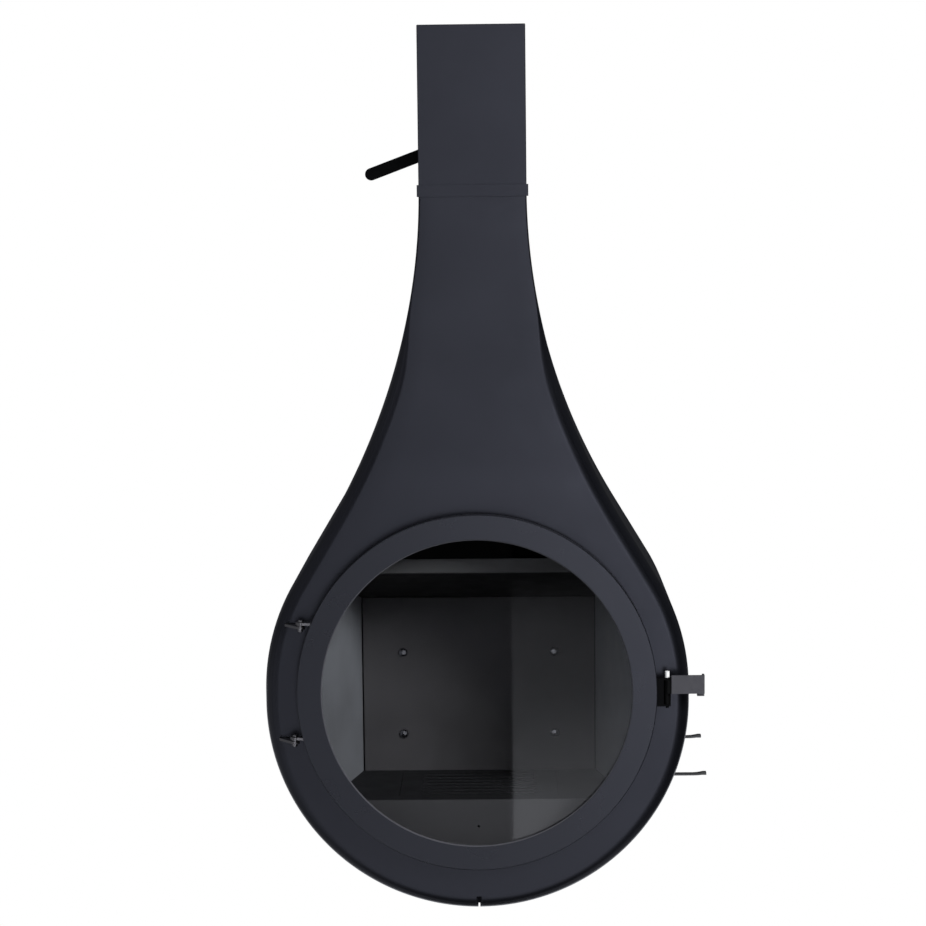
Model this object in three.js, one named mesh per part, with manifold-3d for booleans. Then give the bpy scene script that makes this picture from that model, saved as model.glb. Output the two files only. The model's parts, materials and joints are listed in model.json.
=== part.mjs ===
// Hanging fireplace: a drop-shaped steel body with a round glass door, carried by a square flue.
// Millimetres, +Z up. The front faces -Y. The origin is the centre of the flue's top end.
import * as THREE from 'three';
import { mergeGeometries, mergeVertices } from 'three/addons/utils/BufferGeometryUtils.js';
import Module from 'manifold-3d';

const wasm = await Module();
wasm.setup();

// ---------- driving dimensions ----------
const CLEARANCE = 0.3; // gap between pieces that rest on each other
const CUT_PAST = 20; // how far a cutter reaches past what it cuts

// flue
const FLUE_SIDE = 200; // outer side of the square casing
const CASING_WALL = 2.5;
const COLLAR_DROP = 303.5; // from the top of the flue down to the middle of the collar
const COLLAR_HEIGHT = 22;
const COLLAR_WALL = 2.5;
const COLLAR_FIT = 0.6; // room inside the collar
const SLEEVE_HEIGHT = 100;
const SLEEVE_WALL = 3;
const LINER_ROOM = 12; // between the casing's outer side and the round liner
const LINER_WALL = 2;
const LINER_LENGTH = 600;
const SPACER_DROP = 40;
const SPACER_PLATE = 2;

// drop-shaped body
const FACE_MARGIN = 61.5; // body outside the door ring
const NECK_STRAIGHT = 127.9; // straight stretch between the hollow neck and the round shoulder
const NECK_IN_COLLAR = 3.5; // top of the neck above the collar's middle
const SHOULDER_DROP = 1220; // centre of the shoulder arc, below the top
const SIDE_FLAT = 23; // straight stretch at the widest place
const HALF_DEPTH = 215; // half the depth round the door
const SWELL_START = 330; // below this the front and back swell out from the flue
const SWELL_END = 9; // above the door ring, where they are flat
const SHELL = 3; // sheet thickness
const ROLL = 26; // rolled edge round the body
const NECK_ROLL = 3.4; // rolled edge at the collar
const ROLL_START = 470;
const ROLL_LENGTH = 220;
const SEAM_ANGLE = 30; // where the rolled edge is divided between face and band
const SLIT = 3.7; // gap between the two side bands at the lowest point

// door
const DOOR_RAISE = 1; // door centre above the shoulder arc's centre
const RING_RADIUS = 330;
const GLASS_LAP = 14.5; // of the ring over the glass
const RING_PLATE = 4;
const RING_DEPTH = 22; // of the rolled outer rim
const RING_STAND = 35; // front of the ring before the face
const RING_BEVEL = 2;
const GLASS_INSET = 10; // rim of the glass inside the seat
const GLASS_THICKNESS = 4;
const GASKET = 2;
const SEAT_INSET = 22; // inside of the round seat, inside the ring's rim
const SEAT_WALL = 4;
const SEAT_STAND = 8; // seat before the face
const ROPE = 9; // diameter of the rope seal
const CLIPS = 4;
const CLIP_WIDTH = 22;

// hinges: two pins on the ring's left, on one leaning axis
const HINGE_OUT = 16; // pins outside the ring
const HINGE_MID_ANGLE = 176.3;
const HINGE_HALF_ANGLE = 18;
const PIN_RADIUS = 3;
const TAB_THICKNESS = 4.5;
const TAB_EYE = 9;
const HINGE_STAND = 23; // pins before the face

// latch handle on the right
const HANDLE_RISE = 15; // middle of the strip above the door centre
const HANDLE_HEIGHT = 34;
const HANDLE_REACH = 86; // outer end past the ring
const HANDLE_PLATE = 4;
const LATCH_OUT = 18.5; // latch pin outside the ring
const BRACKET_HEIGHT = 52;
const KNUCKLE_RADIUS = 6.5;
const LATCH_HEAD = 12; // height of the latch pin's head

// firebox
const FIREBOX_PLATE = 4;
const FIREBOX_INSET = 22; // side walls at the front, inside the seat
const FIREBOX_REAR_HALF = 228;
const FIREBOX_SETBACK = 29; // front plane behind the face
const FIREBOX_REAR = 75; // back plane behind the middle
const FLOOR_BELOW_DOOR = 217;
const FRONT_PLATE_PAST_RING = 20;
const FRONT_PLATE_TOP = 4; // above the ring
const HOOD_ABOVE_DOOR = 234; // where the walls end and the hood begins
const HOOD_SKIRT = 90; // height of its lower, steeper part
const HOOD_FRONT_HALF = 195; // half width above the skirt
const HOOD_REAR_HALF = 175;
const HOOD_NECK = 60; // end of the cone below the liner
const HOOD_LAP = 40; // of the hood over the liner
const HOOD_SIDES = 32;
const LINING = 8;
const LINING_ABOVE_DOOR = 127;
const LINING_SCREW_X = 148;
const LINING_SCREW_ABOVE_DOOR = 19;
const LINING_SCREW_BELOW_DOOR = 143;
const SCREW_HEAD = 9;
const GRATE_HALF_WIDTH = 150;
const GRATE_FRONT = 140;
const GRATE_REAR = 55;
const GRATE_THICKNESS = 8;
const GRATE_SLOTS = 7;
const GRATE_SLOT_LENGTH = 216;
const GRATE_SLOT_WIDTH = 10;
const ASH_BOX_MARGIN = 35; // past the grate at each side
const ASH_BOX_DEPTH = 88;
const APRON_HALF_WIDTH = 240;
const APRON_HOLE = 5; // diameter
const APRON_HOLE_BELOW_DOOR = 266;
const BAFFLE_LIP = 25;
const BAFFLE_LIP_ABOVE_DOOR = 210;
const BAFFLE_FRONT = 150;
const BAFFLE_PLATE = 5;

// air levers on the right
const LEVER_Y = -120;
const LEVER_WIDTH = 14;
const LEVER_STRIP = 3;
const LEVER_TRAVEL = 22;
const UPPER_LEVER_BELOW_DOOR = 111;
const UPPER_LEVER_OUT = 27.5; // past the body's widest place
const LOWER_LEVER_BELOW_DOOR = 182.5;
const LOWER_LEVER_OUT = 37.5;
const VALVE_BOX_LENGTH = 62;
const VALVE_BOX_WIDTH = 40;
const VALVE_BOX_HEIGHT = 14;
const VALVE_WALL = 2;

// damper in the flue
const DAMPER_DROP = 196;
const DAMPER_TILT = 20.3; // of plate and lever from level
const DAMPER_GAP = 2; // between disc and liner
const DAMPER_PLATE = 3;
const DAMPER_SHAFT = 6; // radius
const BUSH_WALL = 5;
const BUSH_PROUD = 6; // of the casing
const DAMPER_LEVER = 212; // shaft to the middle of the rounded end
const DAMPER_LEVER_WIDTH = 24;
const DAMPER_LEVER_PLATE = 5;
const DAMPER_LEVER_STAND = 14; // lever behind the casing

// ---------- facets ----------
const ROUND_SIDES = 56; // of the door and its seat
const NECK_STEPS = 12;
const SHOULDER_STEPS = 5;
const BOTTOM_STEPS = 13;

// ---------- places that follow from them ----------
const COLLAR_Z = -COLLAR_DROP;
const FLUE_HALF = FLUE_SIDE / 2;
const NECK_START_Z = COLLAR_Z + NECK_IN_COLLAR;
const SHOULDER_Z = -SHOULDER_DROP;
const BOTTOM_ARC_Z = SHOULDER_Z - SIDE_FLAT;
const BODY_RADIUS = RING_RADIUS + FACE_MARGIN; // of the round lower part of the outline
const neckFall = NECK_START_Z - SHOULDER_Z;
const NECK_RADIUS = (FLUE_HALF ** 2 + neckFall ** 2 - BODY_RADIUS ** 2 - NECK_STRAIGHT ** 2)
  / (2 * (BODY_RADIUS - FLUE_HALF));
const FACE_Y = -HALF_DEPTH;
const DOOR_Z = SHOULDER_Z + DOOR_RAISE;
const RING_Y = FACE_Y - RING_STAND;
const SEAT_RADIUS = RING_RADIUS - SEAT_INSET;
const GLASS_RADIUS = SEAT_RADIUS - GLASS_INSET;
const GLASS_OPENING = GLASS_RADIUS - GLASS_LAP;
const SWELL_LENGTH = -DOOR_Z - RING_RADIUS - SWELL_END - SWELL_START;
const PIN_Y = FACE_Y - HINGE_STAND;
const HINGE_RADIUS = RING_RADIUS + HINGE_OUT;
const LATCH_PIN_X = RING_RADIUS + LATCH_OUT;
const HANDLE_END = RING_RADIUS + HANDLE_REACH;
const FIREBOX_FRONT_HALF = SEAT_RADIUS - FIREBOX_INSET; // half width inside at the front
const FIREBOX_FRONT = HALF_DEPTH - FIREBOX_SETBACK;
const FLOOR_Z = DOOR_Z - FLOOR_BELOW_DOOR;
const LINER_RADIUS = FLUE_HALF - LINER_ROOM; // outside

// ---------- finishes ----------
const paint = (color, roughness, metalness) =>
  new THREE.MeshStandardMaterial({ color, roughness, metalness });
const BODY_PAINT = paint(0x32353b, 0.45, 0.1);
const STOVE_PAINT = paint(0x1d1e20, 0.7, 0.1);
const BARE_STEEL = paint(0xb9bcc0, 0.3, 0.9);
const CAST_IRON = paint(0x2a2b2d, 0.8, 0.3);
const ROPE_FIBRE = paint(0x4a4a48, 0.95, 0);
const GLASS = new THREE.MeshStandardMaterial({
  color: 0xaab4b8, roughness: 0.05, transparent: true, opacity: 0.25,
});

// ---------- small helpers ----------
const radians = THREE.MathUtils.degToRad;
const smooth = (t) => THREE.MathUtils.smootherstep(t, 0, 1);
const range = (count) => Array.from({ length: count }, (_, i) => i);
const vec = (x, y, z) => new THREE.Vector3(x, y, z);

/** A geometry with shared corners, no empty triangles, and faces that point out. */
function tidy(geometry) {
  const bare = geometry.index ? geometry : geometry.clone();
  bare.deleteAttribute('normal');
  bare.deleteAttribute('uv');
  const merged = mergeVertices(bare, 1e-4);
  const kept = [];
  const p = merged.attributes.position;
  const a = vec(), b = vec(), c = vec();
  let volume = 0;
  for (let i = 0; i < merged.index.count; i += 3) {
    const [ia, ib, ic] = [0, 1, 2].map((k) => merged.index.getX(i + k));
    if (ia === ib || ib === ic || ic === ia) continue;
    kept.push(ia, ib, ic);
    b.fromBufferAttribute(p, ib).cross(c.fromBufferAttribute(p, ic));
    volume += a.fromBufferAttribute(p, ia).dot(b);
  }
  if (volume < 0) kept.reverse();
  merged.setIndex(kept);
  return merged;
}

/** The geometry as a solid that can be joined and cut. */
function solid(geometry) {
  const g = tidy(geometry);
  return new wasm.Manifold(new wasm.Mesh({
    numProp: 3,
    vertProperties: new Float32Array(g.attributes.position.array),
    triVerts: new Uint32Array(g.index.array),
  }));
}

/** A solid as a geometry. */
function geometryOf(body) {
  const mesh = body.getMesh();
  const g = new THREE.BufferGeometry();
  g.setAttribute('position', new THREE.BufferAttribute(new Float32Array(mesh.vertProperties), 3));
  g.setIndex(Array.from(mesh.triVerts));
  return g;
}

const join = (...parts) => geometryOf(parts.map(solid).reduce((sum, part) => sum.add(part)));
const cut = (part, ...tools) =>
  geometryOf(tools.map(solid).reduce((left, tool) => left.subtract(tool), solid(part)));
const common = (part, tool) => geometryOf(solid(part).intersect(solid(tool)));

/** A block between two corners. */
function block(x0, x1, y0, y1, z0, z1) {
  return new THREE.BoxGeometry(x1 - x0, y1 - y0, z1 - z0)
    .translate((x0 + x1) / 2, (y0 + y1) / 2, (z0 + z1) / 2);
}

/** A rod of one radius from a to b. */
function rod(a, b, radius, sides = 16) {
  const along = b.clone().sub(a);
  const turn = new THREE.Quaternion().setFromUnitVectors(vec(0, 1, 0), along.clone().normalize());
  return new THREE.CylinderGeometry(radius, radius, along.length(), sides)
    .applyQuaternion(turn)
    .translate(...a.clone().add(b).multiplyScalar(0.5).toArray());
}

/** An outline in the XZ plane, given depth from yFront back to yBack. */
function upright(shape, yFront, yBack, curveSegments = 24) {
  return new THREE.ExtrudeGeometry(shape, { depth: yBack - yFront, bevelEnabled: false, curveSegments })
    .rotateX(Math.PI / 2)
    .translate(0, yBack, 0);
}

/** An outline in the XY plane, given height from z0 up to z1. */
function level(shape, z0, z1, curveSegments = 24) {
  return new THREE.ExtrudeGeometry(shape, { depth: z1 - z0, bevelEnabled: false, curveSegments })
    .translate(0, 0, z0);
}

/** An outline in the YZ plane, carried from x0 to x1. */
function across(shape, x0, x1) {
  return new THREE.ExtrudeGeometry(shape, { depth: x1 - x0, bevelEnabled: false })
    .rotateY(Math.PI / 2)
    .rotateX(Math.PI / 2)
    .translate(x0, 0, 0);
}

/** A closed profile of [radius, y] pairs, turned about the door's axis. */
function turned(profile, segments = ROUND_SIDES) {
  const points = [...profile, profile[0]].map(([r, y]) => new THREE.Vector2(r, y));
  return new THREE.LatheGeometry(points, segments).translate(0, 0, DOOR_Z);
}

const outline = (pairs) => new THREE.Shape(pairs.map(([x, y]) => new THREE.Vector2(x, y)));
const square = (half) => outline([[-half, -half], [half, -half], [half, half], [-half, half]]);

/** A square tube about the flue's axis. */
function squareTube(half, wall, zLow, zHigh) {
  const shape = square(half);
  shape.holes.push(square(half - wall));
  return level(shape, zLow, zHigh);
}

/** A round tube about the flue's axis. */
function roundTube(radius, wall, zLow, zHigh, sides = 24) {
  const shape = new THREE.Shape().absarc(0, 0, radius, 0, 2 * Math.PI);
  shape.holes.push(new THREE.Path().absarc(0, 0, radius - wall, 0, 2 * Math.PI));
  return level(shape, zLow, zHigh, sides);
}

/** A round bar about the door's axis. */
const doorCylinder = (radius, yFront, yBack, sides = ROUND_SIDES) =>
  rod(vec(0, yFront, DOOR_Z), vec(0, yBack, DOOR_Z), radius, sides);

const group = new THREE.Group();

function add(name, geometry, material) {
  const mesh = new THREE.Mesh(tidy(geometry), material);
  mesh.name = name;
  group.add(mesh);
}

// ---------- the drop-shaped outline ----------
/** The tangent that joins the hollow neck arc and the round shoulder, as the angle of its normal. */
function tangentAngle() {
  const between = vec(-(FLUE_HALF + NECK_RADIUS), 0, SHOULDER_Z - NECK_START_Z);
  const slack = Math.acos((NECK_RADIUS + BODY_RADIUS) / between.length());
  return Math.atan2(between.z, between.x) - slack + Math.PI * 2;
}

/**
 * The right half of the outline from the collar to the lowest point, as a list of
 * {x, z, nx, nz}: a place and the outward direction there.
 */
function halfOutline(endGap = 0) {
  const samples = [];
  const neckTurn = tangentAngle();
  const arc = (cx, cz, radius, from, to, steps, sign) => range(steps + 1).forEach((i) => {
    const angle = from + ((to - from) * i) / steps;
    const [c, s] = [Math.cos(angle), Math.sin(angle)];
    samples.push({ x: cx + radius * c, z: cz + radius * s, nx: sign * c, nz: sign * s });
  });
  arc(FLUE_HALF + NECK_RADIUS, NECK_START_Z, NECK_RADIUS, Math.PI, neckTurn, NECK_STEPS, -1);
  arc(0, SHOULDER_Z, BODY_RADIUS, neckTurn - Math.PI, 0, SHOULDER_STEPS, 1);
  arc(0, BOTTOM_ARC_Z, BODY_RADIUS, 0, Math.asin(endGap / 2 / BODY_RADIUS) - Math.PI / 2, BOTTOM_STEPS, 1);
  return samples;
}

/** Half the body's depth at a height: the flue's half at the collar, swelling to the body's. */
const halfDepth = (z) =>
  THREE.MathUtils.lerp(FLUE_HALF, HALF_DEPTH, smooth((-z - SWELL_START) / SWELL_LENGTH));

/** The radius of the rolled edge at a height. */
const rollRadius = (z) => THREE.MathUtils.lerp(NECK_ROLL, ROLL, smooth((-z - ROLL_START) / ROLL_LENGTH));

/**
 * A place on the body's skin: beside outline sample p, where the skin's direction is theta degrees
 * from straight forward. deep is 0 on the outside and the sheet's thickness on the inside.
 * Inset from the outline = deep + (r - deep)(1 - sin theta); back from the face by (r - deep)(1 - cos theta).
 */
function skin(p, theta, deep, side, front) {
  const r = Math.max(rollRadius(p.z) - deep, 0.4);
  const inset = deep + r * (1 - Math.sin(radians(theta)));
  const x = Math.max(p.x - p.nx * inset, 0);
  const z = p.z - p.nz * inset;
  const y = halfDepth(z) - deep - r * (1 - Math.cos(radians(theta)));
  return vec(side * x, front * -y, z);
}

/**
 * A closed sheet between two grids of points of the same size, its rim walled all round. Rows whose first
 * and last column meet, as at the lowest point of a face, are zipped by leaving out that wall.
 */
function sheet(outer, inner, zipLast = false) {
  const rows = outer.length;
  const columns = outer[0].length;
  const position = [...outer.flat(), ...inner.flat()].flatMap((v) => v.toArray());
  const index = [];
  const quad = (a, b, c, d) => index.push(a, b, c, a, c, d);
  const at = (i, j) => i * columns + j;
  const under = rows * columns;
  for (let i = 0; i + 1 < rows; i++) {
    for (let j = 0; j + 1 < columns; j++) {
      quad(at(i, j), at(i + 1, j), at(i + 1, j + 1), at(i, j + 1));
      quad(under + at(i, j + 1), under + at(i + 1, j + 1), under + at(i + 1, j), under + at(i, j));
    }
    const [a, b] = [at(i, 0), at(i + 1, 0)];
    quad(a, under + a, under + b, b);
    const [c, d] = [at(i, columns - 1), at(i + 1, columns - 1)];
    quad(c, d, under + d, under + c);
  }
  for (let j = 0; j + 1 < columns; j++) {
    const [a, b] = [at(0, j), at(0, j + 1)];
    quad(a, b, under + b, under + a);
    const [c, d] = [at(rows - 1, j), at(rows - 1, j + 1)];
    if (!zipLast) quad(c, under + c, under + d, d);
  }
  const g = new THREE.BufferGeometry();
  g.setAttribute('position', new THREE.Float32BufferAttribute(position, 3));
  g.setIndex(index);
  return g;
}

/** Half the seam between face and band, as an angle on the rolled edge. */
const seamHalf = (z) => THREE.MathUtils.radToDeg(CLEARANCE / 2 / rollRadius(z));

/** The flat face with the inner part of its rolled edge, at the front (1) or the back (-1). */
function faceShell(front) {
  const samples = halfOutline();
  const rows = (deep) => samples.map((p) => {
    const edge = SEAM_ANGLE - seamHalf(p.z);
    const turns = [edge, edge / 2, 0];
    return [
      ...turns.map((theta) => skin(p, theta, deep, -1, front)),
      ...turns.reverse().map((theta) => skin(p, theta, deep, 1, front)),
    ];
  });
  return sheet(rows(0), rows(SHELL), true);
}

/** One side band: the outer part of both rolled edges and the flank between them. */
function bandShell(side) {
  const samples = halfOutline(SLIT);
  const rows = (deep) => samples.map((p) => {
    const edge = SEAM_ANGLE + seamHalf(p.z);
    const turns = [edge, 50, 70, 90];
    return [
      ...turns.map((theta) => skin(p, theta, deep, side, 1)),
      ...turns.reverse().map((theta) => skin(p, theta, deep, side, -1)),
    ];
  });
  return sheet(rows(0), rows(SHELL));
}

// ---------- body shells ----------
const hingeAngles = [HINGE_MID_ANGLE - HINGE_HALF_ANGLE, HINGE_MID_ANGLE + HINGE_HALF_ANGLE];
const hingePins = hingeAngles.map((degrees) =>
  vec(HINGE_RADIUS * Math.cos(radians(degrees)), PIN_Y, DOOR_Z + HINGE_RADIUS * Math.sin(radians(degrees))));
const hingeAxis = hingePins[0].clone().sub(hingePins[1]).normalize();

/** Carries a geometry drawn with its hinge pin along +Z at the origin to the real pin. */
function atHinge(geometry, pin) {
  const u = new THREE.Vector3().crossVectors(vec(0, 1, 0), hingeAxis);
  const frame = new THREE.Matrix4().makeBasis(u, vec(0, 1, 0), hingeAxis).setPosition(pin);
  return geometry.applyMatrix4(frame);
}

const TAB_FREE = 2.5; // between the body's hinge tab and the seam of the side band
const TAB_ROOT = -(FACE_MARGIN - HINGE_OUT - ROLL / 2 - TAB_FREE); // outer end of the tab, from the pin
const TAB_ROOT_INNER = -12;
const TAB_THROUGH = HINGE_STAND + SHELL + 6; // how far back it reaches, through the face
const STACK_GAP = 1.6; // half the room between the two tabs, for the washer

/** The body's hinge tab, or the slot it passes through when grown. */
function bodyTab(grow = 0) {
  const shape = new THREE.Shape();
  shape.moveTo(TAB_ROOT - grow, TAB_THROUGH + grow);
  shape.lineTo(TAB_ROOT - grow, HINGE_STAND - 8 - grow);
  shape.lineTo(-TAB_EYE * 0.8 - grow, -TAB_EYE * 0.6 - grow);
  shape.absarc(0, 0, TAB_EYE + grow, radians(-143), radians(30), false);
  shape.lineTo(TAB_ROOT_INNER + 14 + grow, HINGE_STAND - 8);
  shape.lineTo(TAB_ROOT_INNER + grow, TAB_THROUGH + grow);
  if (grow === 0) {
    shape.holes.push(new THREE.Path().absarc(0, 0, PIN_RADIUS + CLEARANCE, 0, 2 * Math.PI));
  }
  return level(shape, -STACK_GAP - TAB_THICKNESS - grow, -STACK_GAP + grow, 8);
}

const doorHole = doorCylinder(SEAT_RADIUS + SEAT_WALL + CLEARANCE, FACE_Y - CUT_PAST, FACE_Y + CUT_PAST);
const hingeSlots = hingePins.map((pin) => atHinge(bodyTab(CLEARANCE), pin));
add('front_shell', cut(faceShell(1), doorHole, ...hingeSlots), BODY_PAINT);
add('back_shell', faceShell(-1), BODY_PAINT);
add('left_side_band', bandShell(-1), BODY_PAINT);

const leverPlaces = [UPPER_LEVER_BELOW_DOOR, LOWER_LEVER_BELOW_DOOR].map((drop) => DOOR_Z - drop);
/** Half the width of the round lower part at a height, for a radius. */
const roundHalf = (radius, z) => Math.sqrt(radius ** 2 - (z - BOTTOM_ARC_Z) ** 2);
const leverSlots = leverPlaces.map((z) => block(
  roundHalf(BODY_RADIUS, z) - CUT_PAST, BODY_RADIUS + CUT_PAST,
  LEVER_Y - LEVER_WIDTH / 2 - 1, LEVER_Y + LEVER_WIDTH / 2 + 1,
  z - LEVER_STRIP / 2 - 2, z + LEVER_STRIP / 2 + 4,
));
add('right_side_band', cut(bandShell(1), ...leverSlots), BODY_PAINT);

// ---------- flue ----------
const casingEnd = NECK_START_Z + CLEARANCE;
add('flue_casing', cut(
  squareTube(FLUE_HALF, CASING_WALL, casingEnd, 0),
  rod(
    vec(0, FLUE_HALF - CUT_PAST, -DAMPER_DROP), vec(0, FLUE_HALF + CUT_PAST, -DAMPER_DROP),
    DAMPER_SHAFT + BUSH_WALL + CLEARANCE,
  ),
), BODY_PAINT);

const collarHalf = FLUE_HALF + COLLAR_FIT + COLLAR_WALL;
add('neck_collar', squareTube(
  collarHalf, COLLAR_WALL, COLLAR_Z - COLLAR_HEIGHT / 2, COLLAR_Z + COLLAR_HEIGHT / 2,
), BODY_PAINT);

const sleeveHalf = FLUE_HALF - SHELL - CLEARANCE;
add('joining_sleeve', squareTube(
  sleeveHalf, SLEEVE_WALL, COLLAR_Z - SLEEVE_HEIGHT / 2, COLLAR_Z + SLEEVE_HEIGHT / 2,
), STOVE_PAINT);

const shaftFront = -LINER_RADIUS - 4;
const shaftHole = rod(
  vec(0, -FLUE_HALF - CUT_PAST, -DAMPER_DROP), vec(0, FLUE_HALF + CUT_PAST, -DAMPER_DROP),
  DAMPER_SHAFT + CLEARANCE,
);
add('flue_liner', cut(roundTube(LINER_RADIUS, LINER_WALL, -LINER_LENGTH, 0), shaftHole), BARE_STEEL);

const spacerShape = square(FLUE_HALF - CASING_WALL - CLEARANCE);
const spacerHole = (LINER_RADIUS + CLEARANCE) / Math.cos(Math.PI / 48);
spacerShape.holes.push(new THREE.Path().absarc(0, 0, spacerHole, 0, 2 * Math.PI));
add('liner_spacer', level(spacerShape, -SPACER_DROP - SPACER_PLATE, -SPACER_DROP, 24), STOVE_PAINT);

// ---------- damper: a disc on a shaft across the flue, worked by a lever behind it ----------
const bushShape = new THREE.Shape().absarc(0, -DAMPER_DROP, DAMPER_SHAFT + BUSH_WALL, 0, 2 * Math.PI);
bushShape.holes.push(new THREE.Path().absarc(0, -DAMPER_DROP, DAMPER_SHAFT + CLEARANCE, 0, 2 * Math.PI));
add('damper_bush', upright(
  bushShape, FLUE_HALF - CASING_WALL - BUSH_WALL, FLUE_HALF + BUSH_PROUD, 10,
), BARE_STEEL);

const tilt = radians(DAMPER_TILT);
const leverFront = FLUE_HALF + DAMPER_LEVER_STAND;
const leverBack = leverFront + DAMPER_LEVER_PLATE;
add('damper_shaft', rod(
  vec(0, shaftFront, -DAMPER_DROP), vec(0, leverBack + 6, -DAMPER_DROP), DAMPER_SHAFT,
), BARE_STEEL);

/** Turns a geometry made level at the origin by the damper's tilt and moves it to the shaft. */
const atDamper = (geometry) => geometry.rotateY(-tilt).translate(0, 0, -DAMPER_DROP);

const damperRadius = LINER_RADIUS - LINER_WALL - DAMPER_GAP;
const bossReach = damperRadius * 0.7;
const plateShape = new THREE.Shape().absarc(0, 0, damperRadius, 0, 2 * Math.PI);
const plateBoss = rod(vec(0, -bossReach, 0), vec(0, bossReach, 0), DAMPER_SHAFT + 3.5);
add('damper_plate', atDamper(cut(
  join(level(plateShape, -DAMPER_PLATE / 2, DAMPER_PLATE / 2, 20), plateBoss),
  rod(vec(0, -FLUE_HALF, 0), vec(0, FLUE_HALF, 0), DAMPER_SHAFT + CLEARANCE),
)), BARE_STEEL);

const leverShape = new THREE.Shape();
leverShape.absarc(-DAMPER_LEVER, 0, DAMPER_LEVER_WIDTH / 2, radians(90), radians(270), false);
leverShape.absarc(0, 0, DAMPER_LEVER_WIDTH / 2, radians(-90), radians(90), false);
leverShape.holes.push(new THREE.Path().absarc(0, 0, DAMPER_SHAFT + CLEARANCE, 0, 2 * Math.PI));
add('damper_lever', atDamper(upright(leverShape, leverFront, leverBack, 12)), STOVE_PAINT);

// ---------- door seat ----------
add('door_seat', turned([
  [SEAT_RADIUS, FACE_Y - SEAT_STAND],
  [SEAT_RADIUS + SEAT_WALL, FACE_Y - SEAT_STAND],
  [SEAT_RADIUS + SEAT_WALL, -FIREBOX_FRONT - FIREBOX_PLATE - CLEARANCE],
  [SEAT_RADIUS, -FIREBOX_FRONT - FIREBOX_PLATE - CLEARANCE],
]), STOVE_PAINT);

// ---------- door ----------
const ringBack = RING_Y + RING_PLATE;
const channelOut = SEAT_RADIUS + SEAT_WALL + 4;
const channelIn = SEAT_RADIUS - 5;
const ropeY = FACE_Y - SEAT_STAND - CLEARANCE - ROPE / 2;
const channelEnd = ropeY - ROPE / 2 + 5;
add('door_ring', turned([
  [GLASS_OPENING, RING_Y + RING_BEVEL],
  [GLASS_OPENING + RING_BEVEL, RING_Y],
  [RING_RADIUS - 2.5, RING_Y],
  [RING_RADIUS - 0.7, RING_Y + 0.7],
  [RING_RADIUS, RING_Y + 2.5],
  [RING_RADIUS, RING_Y + RING_DEPTH],
  [RING_RADIUS - 3, RING_Y + RING_DEPTH],
  [RING_RADIUS - 3, ringBack],
  [channelOut + 3, ringBack],
  [channelOut + 3, channelEnd],
  [channelOut, channelEnd],
  [channelOut, ropeY - ROPE / 2 - CLEARANCE],
  [channelIn, ropeY - ROPE / 2 - CLEARANCE],
  [channelIn, channelEnd],
  [channelIn - 3, channelEnd],
  [channelIn - 3, ringBack],
  [GLASS_OPENING, ringBack],
]), BODY_PAINT);

const ropeMiddle = SEAT_RADIUS + SEAT_WALL / 2;
add('door_rope_seal', turned(range(6).map((i) => {
  const angle = ((i + 0.5) * Math.PI) / 3;
  return [ropeMiddle + (ROPE / 2) * Math.cos(angle), ropeY + (ROPE / 2) * Math.sin(angle)];
})), ROPE_FIBRE);

const gasketY = ringBack + CLEARANCE;
const glassY = gasketY + GASKET + CLEARANCE;
add('glass_gasket', turned([
  [GLASS_OPENING + 3, gasketY],
  [GLASS_RADIUS - 1, gasketY],
  [GLASS_RADIUS - 1, gasketY + GASKET],
  [GLASS_OPENING + 3, gasketY + GASKET],
]), ROPE_FIBRE);
add('door_glass', doorCylinder(GLASS_RADIUS, glassY, glassY + GLASS_THICKNESS), GLASS);

const clipY = glassY + GLASS_THICKNESS + CLEARANCE;
const clipInner = GLASS_RADIUS - 10;
const clipOuter = Math.sqrt((channelIn - 3 - CLEARANCE) ** 2 - (CLIP_WIDTH / 2) ** 2) - CLEARANCE;
range(CLIPS).forEach((i) => {
  const angle = radians(45 + (360 / CLIPS) * i);
  const clip = block(clipInner, clipOuter, clipY, clipY + 2, -CLIP_WIDTH / 2, CLIP_WIDTH / 2);
  const screwHead = rod(vec(clipInner + 5, clipY + 1, 0), vec(clipInner + 5, clipY + 5, 0), 3.5, 12);
  add(`glass_clip_${i + 1}`, join(clip, screwHead).rotateY(-angle).translate(0, 0, DOOR_Z), BARE_STEEL);
});

// ---------- hinges ----------
/** The door's hinge tab: an eye round the pin and an arm to the ring's rim. */
function doorTab() {
  const shape = new THREE.Shape();
  shape.absarc(0, 0, TAB_EYE, radians(60), radians(300), false);
  shape.lineTo(40, -TAB_EYE * 0.87);
  shape.lineTo(40, TAB_EYE * 0.87);
  shape.holes.push(new THREE.Path().absarc(0, 0, PIN_RADIUS + CLEARANCE, 0, 2 * Math.PI));
  return level(shape, STACK_GAP, STACK_GAP + TAB_THICKNESS, 12);
}

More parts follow.
